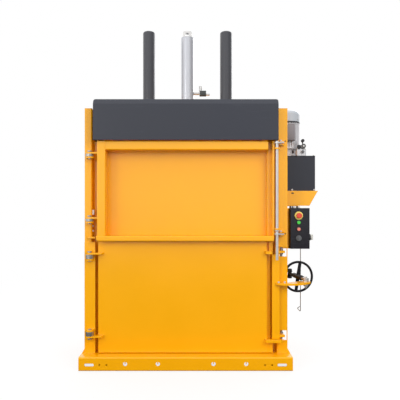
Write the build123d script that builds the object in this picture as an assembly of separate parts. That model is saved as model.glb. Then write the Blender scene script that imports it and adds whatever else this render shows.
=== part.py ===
from build123d import *
import math
import os

# Recycling baler, in millimetres. +X is the machine's right, -Y its front and Z = 0 the floor.
# X = 0 is the centre line of the chamber and Y = 0 the axis of the press cylinder.

# Base
BASE_FRONT = 515
BASE_REAR = 460
BASE_HEIGHT = 97
BASE_OVERHANG = 19.5
BEAM_WALL = 6
BEAM_LIP = 22
SLOT_LENGTH = 67
SLOT_WIDTH = 20
SLOT_HEIGHT = 43
SLOT_INSET = 74.5
BEAM_HOLE = 12
BEAM_HOLE_STEP = 50
TIE_HOLE = 30
TIE_TAB = 7
TIE_HOLE_HEIGHT = 50
ANCHOR_HOLE = 14
ANCHOR_INSET = 35
FOOT_GUSSET = 34

# Chamber
CHAMBER_WIDTH = 1200
CHAMBER_REAR = 375
WALL = 6
DECK = 4
FLOOR_BAR_HEIGHT = 34
BAR_WALL = 6
JOIST_WIDTH = 60
JOIST_STEP = 200
STRAP_GAP = 26
STRAP_INNER = 195
STRAP_OUTER = 424.5
FRAME_TOP = 1864
RIB_DEPTH = 40
RIB_WIDTH = 70
RIB_WALL = 5
RIB_HEIGHTS = (330, 720, 1330)

# Columns
COLUMN_FACE = 408
COLUMN_WALL = 8
COLUMN_FLANGE = 77
LEFT_FLANGE = 53
JAMB_WIDTH = 49
JAMB_DEPTH = 60
STIFFENER_WALL = 6
WINDOW_HEIGHT = 70
UPPER_WINDOW = 828
UPPER_WINDOW_WIDTH = 61
LOWER_WINDOW = 225
LOWER_WINDOW_WIDTH = 48
WINDOW_EDGE = 5

# Doors
HINGE_INSET = 44
HINGE_STANDOFF = 36
HINGE_PIN = 24
HINGE_COLLAR = 56
HINGE_LUG = 12
HINGE_LUG_RADIUS = 26
DOOR_OFFSET = 55
DOOR_GAP = 4
DOOR_SIDE_GAP = 25
DOOR_SHEET = 5
FEED_SPLIT = 905
FEED_DEPTH = 115
FEED_POST = 61
FEED_RAIL = 63
FEED_SILL = 38
FEED_SILL_REACH = 10
FEED_STILE = 63
STILE_STRIP = 24
FEED_LIP = 10
FEED_HINGES = (1057, 1520)
BALE_DEPTH = 66
BALE_EDGE = 53
BALE_GROOVE = 20
BALE_LUG_TOP = 824
BALE_LUG_LOW = 192
BALE_LUG_WALL = 20
BALE_HINGES = (246, 796)
FEED_COLLAR_HEIGHT = 18
BALE_COLLAR_HEIGHT = 30

# Door rod
ROD = 20
ROD_STANDOFF = 67
ROD_INSET = 9
ROD_BOTTOM = 774
HOOK_LEVELS = (959, 1605)
HOOK_WALL = 10
HOOK_RADIUS = 50
HOOK_SLOT = 13
KEEPER_PIN = 12
KEEPER_RADIUS = 36
KEEPER_ANGLE = 36.5

# Bale door lock
PIVOT_INSET = 35
PIVOT_DEPTH = 14
PIVOT_PIN = 18
LOCK_PLATE = 12
LOCK_STANDOFF = 12
LOCK_WIDTH = 54
LEVER_LEVEL = 600
LEVER_WALL = 15
LEVER_REACH = 182
LOCK_TRAVEL = 60
SCREW = 22
SCREW_PIN = 20
SCREW_LEVEL = 622
SCREW_LENGTH = 349
SCREW_SLOPE = 8.9
HUB_FROM_FRONT = 162
WHEEL = 240
WHEEL_RIM = 18
WHEEL_TILT = 8.5
HUB = 38
HUB_LENGTH = 170

# Top
COVER_FRONT = 493
COVER_BOTTOM = 1624
COVER_TOP = 1915
COVER_SHEET = 3
COVER_BEVEL = 36
COVER_CORNER = 14
CROSSHEAD_BOTTOM = 1700
CROSSHEAD_HEIGHT = 150
CROSSHEAD_WIDTH = 150
CROSSHEAD_WALL = 10
HEAD_PLATE = 20
HEAD_DROP = 50
CROSSHEAD_FLANGE = 70
BARREL = 103
BARREL_WALL = 11
BARREL_TOP = 2510
PISTON_ROD = 60
GLAND = 40
CAP_LUG_WIDTH = 69
CAP_LUG_HEIGHT = 62
GUIDE_SPACING = 620
GUIDE_TUBE = 95.6
GUIDE_ROD = 70
GUIDE_TOP = 2575
STROKE = 700

# Platen
PLATEN_CLEARANCE = 12
PLATEN_BAR = 34
PLATEN_PLATE = 12
PLATEN_BEAM = 72

# Power pack
TRAY_TOP = 1273
TRAY_DEPTH = 112
TRAY_LIP = 14
TRAY_SLANT = 63
TRAY_SHEET = 6
TRAY_FRONT = 265
TANK_GAP = 96
TANK_WIDTH = 270
TANK_LENGTH = 400
TANK_HEIGHT = 266
TANK_WALL = 4
TANK_LID = 5
MOTOR = 175
MOTOR_BODY = 152
MOTOR_FINS = 28
BELL_HEIGHT = 72
BODY_HEIGHT = 196
COWL_HEIGHT = 96
BELL_WALL = 8
VALVE_INSET = 104.5
VALVE_SETBACK = 6
VALVE_WIDTH = 73
VALVE_DEPTH = 55
VALVE_HEIGHT = 49
COIL = 36

# Control box
BOX_LEFT = 760
BOX_WIDTH = 143
BOX_BOTTOM = 845
BOX_HEIGHT = 298
BOX_FRONT = 365
BOX_DEPTH = 180
STOP_LEVEL = 1088
GREEN_LEVEL = 1038
RED_LEVEL = 989
SELECTOR_LEVEL = 923
CONTROL_INSET = 61
ISOLATOR_SETBACK = 80

REAR_SHELF = 20
PIN_SHELF = 12
PIVOT_RING = 16
BALE_LUG_LAP = 43
BAND_STEP = 14
LOCK_OVERHANG = 38
ANCHOR_PLATE = 10
TRAY_CORNER = 10
STEM = 16
BUTTON_TRAVEL = 4
STOP_COLLAR = 12
BEZEL = 6
PEG = 9
PEG_INSET = 25
PEG_STANDOFF = 30
PEG_RISE = 55
HOOK_WIRE = 6
HOOK_FOOT = 341
PORT_LEVEL = 2067
REST_LEVEL = 931
REST_REACH = 30
REST_WIDTH = 56
SENSOR_RISE = 38
SENSOR_LENGTH = 35
SENSOR_BOLT_DROPS = (45, 79)
NUT_HEIGHT = 14
BLOCK_INSET = 6

# Clearances
SEAT = 0.3
RUN = 0.08
PASS = 3

# Places that follow from the sizes
BASE_HALF = CHAMBER_WIDTH / 2 + WALL + JAMB_WIDTH + COLUMN_FLANGE + BASE_OVERHANG
INNER = CHAMBER_WIDTH / 2
OUTER = INNER + WALL
WEB = OUTER + JAMB_WIDTH
COLUMN_EDGE = WEB + COLUMN_FLANGE
FACE_Y = -COLUMN_FACE
JAMB_Y = FACE_Y + JAMB_DEPTH
FLOOR = BASE_HEIGHT + DECK + FLOOR_BAR_HEIGHT
HINGE_X = -(COLUMN_EDGE - HINGE_INSET)
HINGE_Y = FACE_Y - HINGE_STANDOFF
DOOR_LEFT = HINGE_X + DOOR_OFFSET
DOOR_RIGHT = WEB - DOOR_SIDE_GAP
DOOR_BACK = JAMB_Y - DOOR_GAP
BALE_BOTTOM = BASE_HEIGHT + DOOR_GAP + 1
BALE_TOP = FEED_SPLIT - DOOR_GAP / 2
FEED_BOTTOM = FEED_SPLIT + DOOR_GAP / 2
FEED_TOP = COVER_BOTTOM - DOOR_GAP
ROD_X = WEB - ROD_INSET
ROD_Y = FACE_Y - ROD_STANDOFF
PIVOT_X = WEB + PIVOT_INSET
PIVOT_Y = FACE_Y + COLUMN_WALL + PIVOT_DEPTH
PLATE_BACK = FACE_Y - LOCK_STANDOFF
PLATE_FRONT = PLATE_BACK - LOCK_PLATE
PLATEN_BOTTOM = CROSSHEAD_BOTTOM - 10 - PLATEN_BEAM - PLATEN_PLATE - PLATEN_BAR
PLATEN_TOP = PLATEN_BOTTOM + PLATEN_BAR + PLATEN_PLATE
FEED_Y = DOOR_BACK - FEED_DEPTH
BALE_Y = DOOR_BACK - BALE_DEPTH
BAND_Y = FACE_Y + BAND_STEP
LOCK_EDGE = WEB - LOCK_OVERHANG
BEARING_LEVELS = (HOOK_LEVELS[0] + 30, HOOK_LEVELS[1] - 45)
PIVOT_HOLE = PIVOT_PIN + 2 * RUN
SCREW_X = PIVOT_X + LEVER_REACH
SCREW_Y = PIVOT_Y + 11
ANCHOR = (
    SCREW_X - SCREW_LENGTH * math.sin(math.radians(SCREW_SLOPE)),
    SCREW_Y + SCREW_LENGTH * math.cos(math.radians(SCREW_SLOPE)),
)
FRONT_SHANK = HUB_FROM_FRONT - 11
REAR_SHANK = SCREW_LENGTH - HUB_FROM_FRONT - 16
HEAD_Z = CROSSHEAD_BOTTOM + CROSSHEAD_HEIGHT - HEAD_DROP
TANK_TOP = TRAY_TOP + TANK_HEIGHT
TANK_Y = -TRAY_FRONT + 2 * TRAY_CORNER
TANK_LEFT = OUTER + TANK_GAP
TANK_RIGHT = TANK_LEFT + TANK_WIDTH
TRAY_REACH = TANK_RIGHT + TRAY_LIP
VALVE_X = TANK_RIGHT - VALVE_INSET
VALVE_FRONT = TANK_Y + VALVE_SETBACK
MOTOR_X = TANK_LEFT + MOTOR / 2 + PASS
MOTOR_Y = VALVE_FRONT + VALVE_DEPTH + 2 * PASS + MOTOR / 2
CONTROL_X = BOX_LEFT + CONTROL_INSET
PEG_X = BOX_LEFT + BOX_WIDTH - PEG_INSET
PEG_Y = -BOX_FRONT + BOX_DEPTH + PEG_STANDOFF
PEG_Z = BOX_BOTTOM + PEG_RISE
ISOLATOR_Y = -BOX_FRONT + ISOLATOR_SETBACK
ISOLATOR_Z = SELECTOR_LEVEL + PASS


def block(x, y, z):
    """A rectangular piece, each argument its two limits along that axis."""
    size = Box(x[1] - x[0], y[1] - y[0], z[1] - z[0])
    return Pos((x[0] + x[1]) / 2, (y[0] + y[1]) / 2, (z[0] + z[1]) / 2) * size


def outline(points, closed=True):
    return make_face(Polyline(*points, close=closed))


def raise_z(face, z):
    """A face in plan, raised from the first height to the second."""
    return extrude(Plane.XY.offset(z[0]) * face, z[1] - z[0])


def run_x(face, x):
    """A section whose points are (Y, Z), run from the first X to the second."""
    return extrude(Plane.YZ.offset(x[0]) * face, x[1] - x[0])


def run_y(face, y):
    """An elevation whose points are (X, Z), run from the first Y to the second."""
    return extrude(Plane.XZ.offset(-y[1]) * face, y[1] - y[0])


def folded(points, wall, radius=None):
    """The section of a sheet folded along a path, with the wall on the path's left, or right if negative."""
    path = FilletPolyline(*points, radius=radius or abs(wall) * 1.5)
    side = Side.LEFT if wall > 0 else Side.RIGHT
    return make_face(offset(path, amount=abs(wall), side=side))


def rod_z(x, y, z, diameter):
    return Pos(x, y, (z[0] + z[1]) / 2) * Cylinder(diameter / 2, z[1] - z[0])


def rod_y(x, y, z, diameter):
    return Pos(x, (y[0] + y[1]) / 2, z) * Rot(90, 0, 0) * Cylinder(diameter / 2, y[1] - y[0])


def rod_x(x, y, z, diameter):
    return Pos((x[0] + x[1]) / 2, y, z) * Rot(0, 90, 0) * Cylinder(diameter / 2, x[1] - x[0])


def eye_plate(x, y, radius, points, z, hole):
    """A flat plate of the given outline with a round eye about (x, y)."""
    face = outline(points) + Pos(x, y) * Circle(radius)
    return raise_z(face - Pos(x, y) * Circle(hole / 2), z)


def end_beam(front, inner, holes):
    """The folded beam under one end of the machine, closed at its ends."""
    toward = 1 if inner > front else -1
    path = [(inner, BASE_HEIGHT), (front, BASE_HEIGHT), (front, 0), (front + toward * BEAM_LIP, 0)]
    beam = run_x(folded(path, toward * BEAM_WALL), (-BASE_HALF, BASE_HALF))
    skin = (front - 2 * BEAM_WALL, front + 2 * BEAM_WALL)
    for side in (-1, 1):
        end = sorted((side * BASE_HALF, side * (BASE_HALF - BEAM_WALL)))
        depth = sorted((front + toward * BEAM_WALL / 2, inner))
        beam += block(end, depth, (BEAM_WALL / 2, BASE_HEIGHT - BEAM_WALL / 2))
        slot_x = side * (BASE_HALF - SLOT_INSET)
        beam -= run_y(Pos(slot_x, SLOT_HEIGHT) * SlotOverall(SLOT_LENGTH, SLOT_WIDTH), skin)
        anchor_y = front + toward * ANCHOR_INSET
        beam -= rod_z(slot_x, anchor_y, (BASE_HEIGHT - 2 * BEAM_WALL, BASE_HEIGHT + BEAM_WALL), ANCHOR_HOLE)
        if holes:
            for step in (1, 2):
                from_slot = SLOT_LENGTH / 2 + step * BEAM_HOLE_STEP - BEAM_HOLE
                hole_x = side * (BASE_HALF - SLOT_INSET - from_slot)
                beam -= rod_y(hole_x, skin, SLOT_HEIGHT, BEAM_HOLE)
            for strap_x in (STRAP_INNER, STRAP_OUTER):
                beam -= run_y(tie_hole(side * strap_x), skin)
    return beam


def tie_hole(x):
    """A strap tie hole: round, with a tab left hanging from its top edge."""
    tab = Pos(0, TIE_HOLE / 4) * Rectangle(TIE_TAB, TIE_HOLE / 2)
    return Pos(x, TIE_HOLE_HEIGHT) * (Circle(TIE_HOLE / 2) - tab)


def side_beam(side):
    outer = side * BASE_HALF
    path = [(side * (INNER - 2 * BEAM_WALL), BASE_HEIGHT), (outer, BASE_HEIGHT), (outer, 0)]
    path.append((outer - side * BEAM_LIP, 0))
    return run_y(folded(path, -side * BEAM_WALL), (JAMB_Y, CHAMBER_REAR - REAR_SHELF))


def floor_deck(y):
    """The plate under the chamber, with the channels welded under it that stand on the floor."""
    deck = block((-INNER, INNER), y, (BASE_HEIGHT, BASE_HEIGHT + DECK))
    half = INNER - 2 * BEAM_WALL - SEAT
    for number in (-1, 0, 1):
        near = number * JOIST_STEP - JOIST_WIDTH / 2
        far = near + JOIST_WIDTH
        path = [(far, BASE_HEIGHT), (near, BASE_HEIGHT), (near, 0), (far, 0)]
        deck += run_x(folded(path, BEAM_WALL), (-half, half))
    return deck


def floor_bars(z, y, half, open_side):
    """Five channels side by side, open below or above, with a groove for a strap between each two."""
    edges = [-half, -STRAP_OUTER, -STRAP_INNER, STRAP_INNER, STRAP_OUTER, half]
    bars = []
    inside = (z[0] - 1, z[1] - BAR_WALL) if open_side == "below" else (z[0] + BAR_WALL, z[1] + 1)
    for number in range(len(edges) - 1):
        left = edges[number] + (STRAP_GAP / 2 if number > 0 else 0)
        right = edges[number + 1] - (STRAP_GAP / 2 if number < len(edges) - 2 else 0)
        bar = chamfer(block((left, right), y, z).edges().filter_by(Axis.Y), 3)
        bars.append(bar - block((left + BAR_WALL, right - BAR_WALL), (y[0] - 1, y[1] + 1), inside))
    return bars


def side_wall(side):
    x = sorted((side * INNER, side * OUTER))
    return block(x, (JAMB_Y, CHAMBER_REAR), (BASE_HEIGHT, FRAME_TOP))


def wall_ribs():
    """Folded channels that stiffen the three walls on their outer sides."""
    ribs = []
    for level in RIB_HEIGHTS:
        low = level - RIB_WIDTH / 2
        high = level + RIB_WIDTH / 2
        for side in (-1, 1):
            out = side * (OUTER + RIB_DEPTH)
            path = [(side * OUTER, high), (out, high), (out, low), (side * OUTER, low)]
            ribs.append(run_y(folded(path, -side * RIB_WALL), (JAMB_Y + 2 * COLUMN_WALL, CHAMBER_REAR)))
        back = CHAMBER_REAR + WALL
        path = [(back, high), (back + RIB_DEPTH, high), (back + RIB_DEPTH, low), (back, low)]
        ribs.append(run_x(folded(path, -RIB_WALL), (-OUTER, OUTER)))
    return ribs


def column(side):
    """A front column folded from one plate: front flange, web and the jamb that meets the wall."""
    web = side * (WEB if side > 0 else COLUMN_EDGE - LEFT_FLANGE)
    path = [(side * COLUMN_EDGE, FACE_Y), (web, FACE_Y), (web, JAMB_Y), (side * OUTER, JAMB_Y)]
    body = raise_z(folded(path, -side * COLUMN_WALL), (BASE_HEIGHT, FRAME_TOP))
    foot = [(side * COLUMN_EDGE, BASE_HEIGHT), (side * BASE_HALF, BASE_HEIGHT)]
    foot.append((side * COLUMN_EDGE, BASE_HEIGHT + FOOT_GUSSET))
    return body + run_y(outline(foot), (FACE_Y, FACE_Y + COLUMN_WALL))


def right_column():
    """The right column, with two windows and the plates that hold the lock's pivot pins."""
    body = column(1)
    edge = COLUMN_EDGE - WINDOW_EDGE
    skin = (FACE_Y - COLUMN_WALL, FACE_Y + 2 * COLUMN_WALL)
    for level, width in ((LOWER_WINDOW, LOWER_WINDOW_WIDTH), (UPPER_WINDOW, UPPER_WINDOW_WIDTH)):
        z = (level - WINDOW_HEIGHT / 2, level + WINDOW_HEIGHT / 2)
        body -= block((edge - width, edge), skin, z)
        for start in (z[0] - PIN_SHELF, z[1]):
            arm = [(PIVOT_X - PIVOT_PIN, FACE_Y + COLUMN_WALL), (PIVOT_X + PIVOT_PIN, FACE_Y + COLUMN_WALL)]
            arm += [(PIVOT_X + PIVOT_PIN, PIVOT_Y), (PIVOT_X - PIVOT_PIN, PIVOT_Y)]
            body += eye_plate(PIVOT_X, PIVOT_Y, PIVOT_PIN, arm, (start, start + PIN_SHELF), PIVOT_HOLE)
    return body


def left_column():
    """The left column, with the plate that doubles its face beside the bale door."""
    x = (-COLUMN_EDGE, -WEB)
    return column(-1) + block(x, (FACE_Y - STIFFENER_WALL, FACE_Y), (BASE_HEIGHT, FEED_SPLIT - 7))


def hinge_stack(level, height, above, root):
    """The parts of one hinge in their order along its pin: frame lug, collar, door lug."""
    half = height / 2
    gap = SEAT + HINGE_LUG
    frame = (level + half + SEAT, level + half + gap) if above else (level - half - gap, level - half - SEAT)
    door = (level - half - gap, level - half - SEAT) if above else (level + half + SEAT, level + half + gap)
    left = HINGE_X - HINGE_LUG_RADIUS
    right = HINGE_X + HINGE_LUG_RADIUS
    shape = [(left, HINGE_Y), (left, root), (right, root), (right, HINGE_Y)]
    lug = eye_plate(HINGE_X, HINGE_Y, HINGE_LUG_RADIUS, shape, frame, HINGE_PIN + 2 * RUN)
    low = min(frame[0], door[0]) - HINGE_LUG / 2
    high = max(frame[1], door[1]) + HINGE_LUG / 2
    pin = rod_z(HINGE_X, HINGE_Y, (low, high), HINGE_PIN)
    pin += rod_z(HINGE_X, HINGE_Y, (level - half, level + half), HINGE_COLLAR)
    head = (high, high + HINGE_LUG / 2) if not above else (low - HINGE_LUG / 2, low)
    pin += rod_z(HINGE_X, HINGE_Y, head, HINGE_PIN * 1.4)
    return lug, pin, door


def rest_lug():
    """The rounded plate on the left column, beside the feed door's sill."""
    left = HINGE_X - REST_WIDTH / 3
    right = left + REST_WIDTH
    front = FACE_Y - REST_REACH
    lug = block((left, right), (front, FACE_Y), (REST_LEVEL - HINGE_LUG / 2, REST_LEVEL + HINGE_LUG / 2))
    left_edges = lug.edges().filter_by(Axis.Z).group_by(Axis.X)[0]
    return fillet(left_edges.sort_by(Axis.Y)[:1], REST_REACH * 0.8)


def feed_hinge_arm(z):
    left = HINGE_X
    shape = [(left, HINGE_Y - HINGE_LUG_RADIUS), (DOOR_LEFT, HINGE_Y - HINGE_LUG_RADIUS + 6)]
    shape += [(DOOR_LEFT, HINGE_Y + HINGE_LUG_RADIUS + 10), (left, HINGE_Y + HINGE_LUG_RADIUS)]
    return eye_plate(HINGE_X, HINGE_Y, HINGE_LUG_RADIUS, shape, z, HINGE_PIN + 2 * RUN)


def bale_hinge_arm(z):
    """A hinge lug that laps over the door's face."""
    tip = DOOR_LEFT + BALE_LUG_LAP
    shape = [(HINGE_X, HINGE_Y - HINGE_LUG_RADIUS), (tip - 12, HINGE_Y - 10), (tip, BALE_Y)]
    shape += [(DOOR_LEFT, BALE_Y), (HINGE_X, HINGE_Y + HINGE_LUG_RADIUS - 4)]
    return eye_plate(HINGE_X, HINGE_Y, HINGE_LUG_RADIUS, shape, z, HINGE_PIN + 2 * RUN)


def feed_panel():
    x = (DOOR_LEFT + FEED_POST - DOOR_SHEET, DOOR_RIGHT - FEED_STILE)
    return block(x, (DOOR_BACK - DOOR_SHEET, DOOR_BACK), (FEED_BOTTOM + FEED_SILL, FEED_TOP))


def feed_left_post():
    right = DOOR_LEFT + FEED_POST
    back = DOOR_BACK - DOOR_SHEET
    path = [(DOOR_LEFT, back), (DOOR_LEFT, FEED_Y), (right, FEED_Y), (right, back)]
    return raise_z(folded(path, DOOR_SHEET), (FEED_BOTTOM + FEED_SILL, FEED_TOP))


def feed_top_rail():
    bottom = FEED_TOP - FEED_RAIL
    back = DOOR_BACK - DOOR_SHEET
    path = [(back, bottom), (FEED_Y, bottom), (FEED_Y, FEED_TOP), (back, FEED_TOP)]
    x = (DOOR_LEFT + FEED_POST, DOOR_RIGHT - FEED_STILE + STILE_STRIP - DOOR_SHEET - 1)
    return run_x(folded(path, -DOOR_SHEET), x)


def feed_bottom_rail():
    """The sill rail, which stands proud of the door, with its lower left corner cut off."""
    top = FEED_BOTTOM + FEED_SILL
    front = FEED_Y - FEED_SILL_REACH
    path = [(DOOR_BACK, top), (front, top), (front, FEED_BOTTOM), (DOOR_BACK, FEED_BOTTOM)]
    rail = run_x(folded(path, DOOR_SHEET), (DOOR_LEFT - PASS, DOOR_RIGHT - FEED_LIP / 2))
    corner = [(DOOR_LEFT - 2 * PASS, FEED_BOTTOM - 1), (DOOR_LEFT + 12, FEED_BOTTOM - 1)]
    corner.append((DOOR_LEFT - 2 * PASS, FEED_BOTTOM + 14))
    return rail - run_y(outline(corner), (front - 1, DOOR_BACK + 1))


def feed_right_stile():
    """The stepped right edge of the feed door, folded from one sheet."""
    left = DOOR_RIGHT - FEED_STILE
    mid = left + STILE_STRIP
    right = DOOR_RIGHT - FEED_LIP
    back = DOOR_BACK
    step = DOOR_BACK - 45
    path = [(left, back), (mid, back), (mid, step), (right, step), (right, FEED_Y + FEED_LIP)]
    path.append((DOOR_RIGHT, FEED_Y + FEED_LIP))
    return raise_z(folded(path, -DOOR_SHEET, DOOR_SHEET + 1), (FEED_BOTTOM + FEED_SILL, FEED_TOP))


def feed_lugs():
    """Hinge arms on the left and bearing plates for the rod on the right."""
    plates = []
    for level in FEED_HINGES:
        plates.append(feed_hinge_arm(hinge_stack(level, FEED_COLLAR_HEIGHT, False, FACE_Y)[2]))
    for level in BEARING_LEVELS:
        edge = DOOR_RIGHT
        shape = [(edge, ROD_Y - ROD), (ROD_X, ROD_Y - ROD), (ROD_X + ROD, ROD_Y), (edge, ROD_Y + 2 * ROD)]
        plates.append(eye_plate(ROD_X, ROD_Y, ROD, shape, (level, level + HOOK_WALL), ROD + 2 * RUN))
    return plates


def hook_face():
    """A hook in plan: a ring sector with a slot on the keeper pin's circle, open at one end."""
    inner = KEEPER_RADIUS - HOOK_SLOT / 2
    outer = KEEPER_RADIUS + HOOK_SLOT / 2
    jaw = Circle(HOOK_RADIUS) - Circle(outer)
    jaw &= sector(-50, 0)
    bridge = (Circle(HOOK_RADIUS) - Circle(ROD / 2)) & sector(-50, -41)
    boss = Circle(inner - 12) - Circle(ROD / 2 - SEAT)
    return jaw + bridge + boss


def sector(start, end):
    """A wedge from the origin between two angles in degrees."""
    reach = 3 * HOOK_RADIUS
    points = [(0, 0)]
    for angle in (start, (start + end) / 2, end):
        points.append((reach * math.cos(math.radians(angle)), reach * math.sin(math.radians(angle))))
    return outline(points)


def door_rod():
    rod = rod_z(ROD_X, ROD_Y, (ROD_BOTTOM, FEED_TOP - 2), ROD)
    for level in HOOK_LEVELS:
        rod += raise_z(Pos(ROD_X, ROD_Y) * hook_face(), (level - HOOK_WALL / 2, level + HOOK_WALL / 2))
    collar_top = BEARING_LEVELS[0] - SEAT
    rod += rod_z(ROD_X, ROD_Y, (collar_top - ROD / 2, collar_top), ROD * 1.5)
    return rod


def keeper(level):
    """The two plates on the column that hold one keeper pin, and the pin."""
    turn = math.radians(KEEPER_ANGLE)
    x = ROD_X + KEEPER_RADIUS * math.cos(turn)
    y = ROD_Y + KEEPER_RADIUS * math.sin(turn)
    ring = KEEPER_PIN
    plates = []
    gap = HOOK_WALL / 2 + PASS
    for low in (level + gap, level - gap - WALL):
        shape = [(x - ring, y), (x - ring + 6, FACE_Y), (x + 3 * ring, FACE_Y), (x + ring, y)]
        plates.append(eye_plate(x, y, ring, shape, (low, low + WALL), KEEPER_PIN + 2 * RUN))
    pin = rod_z(x, y, (level - gap - 1.5 * WALL, level + gap + 1.2 * WALL), KEEPER_PIN)
    return plates, pin


def bale_skin():
    """The door's front sheet, folded back at its left, top and bottom edges."""
    x = (DOOR_LEFT, DOOR_RIGHT - BALE_EDGE)
    sheet = block(x, (BALE_Y, BALE_Y + DOOR_SHEET), (BALE_BOTTOM, BALE_TOP))
    depth = (BALE_Y + DOOR_SHEET, DOOR_BACK - DOOR_SHEET)
    sheet += block((DOOR_LEFT, DOOR_LEFT + DOOR_SHEET), depth, (BALE_BOTTOM, BALE_TOP))
    for z in ((BALE_BOTTOM, BALE_BOTTOM + DOOR_SHEET), (BALE_TOP - DOOR_SHEET, BALE_TOP)):
        sheet += block(x, depth, z)
    front = sheet.edges().filter_by(Axis.Z).sort_by(Axis.Y)[0:1]
    return fillet(front, DOOR_SHEET / 2)


def bale_backing():
    """The door's back plate with the upright channels between it and the front sheet."""
    x = (DOOR_LEFT, DOOR_RIGHT - BALE_EDGE)
    backing = block(x, (DOOR_BACK - DOOR_SHEET, DOOR_BACK), (BALE_BOTTOM, BALE_TOP))
    front = BALE_Y + DOOR_SHEET
    back = DOOR_BACK - DOOR_SHEET
    z = (BALE_BOTTOM + 2 * DOOR_SHEET, BALE_TOP - 2 * DOOR_SHEET)
    for x in (-STRAP_OUTER, -STRAP_INNER, 0, STRAP_INNER, STRAP_OUTER):
        path = [(x - 20, back), (x - 20, front), (x + 20, front), (x + 20, back)]
        backing += raise_z(folded(path, DOOR_SHEET), z)
    return backing


def bale_edge():
    """The door's right edge: a band set back for the lock, and a full-depth block at each end of it."""
    left = DOOR_RIGHT - BALE_EDGE
    right = DOOR_RIGHT - BLOCK_INSET
    band = LOCK_EDGE - PASS - 1
    near = left + DOOR_SHEET
    path = [(near, BALE_Y), (near, BAND_Y), (band, BAND_Y), (band, DOOR_BACK - 3 * DOOR_SHEET)]
    edge = raise_z(folded(path, DOOR_SHEET, DOOR_SHEET + 1), (BALE_BOTTOM, BALE_TOP))
    y = (BALE_Y, BAND_Y)
    top = block((left + BALE_GROOVE, right), y, (BALE_LUG_TOP, BALE_TOP))
    low = block((near, right), y, (BALE_BOTTOM, BALE_LUG_LOW))
    return [edge, top, low]


def bale_lugs():
    """Two hinge arms on the left and the two lugs on the right that meet the ends of the lock."""
    plates = []
    for level, above in zip(BALE_HINGES, (True, False)):
        plates.append(bale_hinge_arm(hinge_stack(level, BALE_COLLAR_HEIGHT, above, FACE_Y)[2]))
    left = DOOR_RIGHT - BALE_EDGE - 11
    for level, right in ((BALE_LUG_LOW, PIVOT_X), (BALE_LUG_TOP, LOCK_EDGE + PASS)):
        shape = [(left, BALE_Y), (left + 6, PLATE_FRONT - 28), (right - 10, PLATE_FRONT - 28)]
        shape += [(right, PLATE_FRONT - 18), (right, BALE_Y)]
        z = (level - BALE_LUG_WALL / 2, level + BALE_LUG_WALL / 2)
        plates.append(raise_z(outline(shape), z))
    return plates


def lock_post():
    """The upright plate of the lock, with the two arms that reach through the windows to its pivots."""
    right = LOCK_EDGE + LOCK_WIDTH
    low = BALE_LUG_LOW + BALE_LUG_WALL / 2 + PASS
    high = BALE_LUG_TOP - BALE_LUG_WALL / 2 - PASS
    top = UPPER_WINDOW + WINDOW_HEIGHT / 2 - PASS
    shape = [(LOCK_EDGE, low), (right, low), (right, top), (LOCK_EDGE + 24, top), (LOCK_EDGE + 24, high)]
    shape.append((LOCK_EDGE, high))
    post = run_y(outline(shape), (PLATE_FRONT, PLATE_BACK))
    for level in (LOWER_WINDOW, UPPER_WINDOW):
        arm = [(right - 16, PLATE_FRONT), (PIVOT_X + 20, PLATE_FRONT), (PIVOT_X + 20, FACE_Y)]
        arm += [(PIVOT_X + 12, PIVOT_Y), (PIVOT_X - 2, PIVOT_Y), (PIVOT_X - 2, PLATE_BACK)]
        arm.append((right - 16, PLATE_BACK))
        post += eye_plate(PIVOT_X, PIVOT_Y, PIVOT_RING, arm, (level - 8, level + 8), PIVOT_HOLE)
    return post


def lever_plate():
    """The flat lever of the lock, with a slot for the screw's pin."""
    pin_x = PIVOT_X + LEVER_REACH
    left = LOCK_EDGE + 24
    mid = (LOCK_EDGE + COLUMN_EDGE) / 2 + 30
    edge = Spline(
        (left, PLATE_FRONT - 8),
        (mid, PLATE_FRONT - 44),
        (pin_x - 40, PLATE_FRONT - 20),
        (pin_x + 34, SCREW_Y),
    )
    back = Polyline(
        (pin_x + 34, SCREW_Y),
        (pin_x + 26, SCREW_Y + 26),
        (pin_x - 34, SCREW_Y + 26),
        (COLUMN_EDGE + 14, PLATE_BACK + 8),
        (COLUMN_EDGE, PLATE_BACK),
        (LOCK_EDGE + LOCK_WIDTH, PLATE_BACK - 1),
        (LOCK_EDGE + LOCK_WIDTH, PLATE_FRONT),
        (left, PLATE_FRONT),
        (left, PLATE_FRONT - 8),
    )
    face = make_face([edge, back])
    slot = Pos(pin_x + LOCK_TRAVEL / 8, SCREW_Y) * SlotOverall(SCREW_PIN + LOCK_TRAVEL / 3, SCREW_PIN + PASS)
    return raise_z(face - slot, (LEVER_LEVEL - LEVER_WALL / 2, LEVER_LEVEL + LEVER_WALL / 2))


def along_screw(shape, distance):
    """Places a shape that was made about the Z axis on the screw's line, Z pointing to the front."""
    turn = math.radians(SCREW_SLOPE)
    at = (SCREW_X - distance * math.sin(turn), SCREW_Y + distance * math.cos(turn), SCREW_LEVEL)
    across = (math.cos(turn), math.sin(turn), 0)
    line = (math.sin(turn), -math.cos(turn), 0)
    return Plane(origin=at, x_dir=across, z_dir=line) * shape


def front_screw():
    """The moving screw, with its pin down through the lever's slot and the nut under it."""
    screw = along_screw(Pos(0, 0, -FRONT_SHANK / 2 - 6) * Cylinder(SCREW / 2, FRONT_SHANK), 0)
    top = SCREW_LEVEL + SCREW
    pin = rod_z(SCREW_X, SCREW_Y, (LEVER_LEVEL - LEVER_WALL / 2 - 30, top), SCREW_PIN)
    block_low = LEVER_LEVEL + LEVER_WALL / 2 + SEAT
    eye = rod_z(SCREW_X, SCREW_Y, (block_low, SCREW_LEVEL + SCREW / 2 + 2), 2 * SCREW_PIN)
    under = LEVER_LEVEL - LEVER_WALL / 2 - SEAT
    nut = Pos(SCREW_X, SCREW_Y, under - 16) * extrude(RegularPolygon(SCREW_PIN * 0.9, 6), 16)
    return screw + pin + eye + nut


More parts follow.
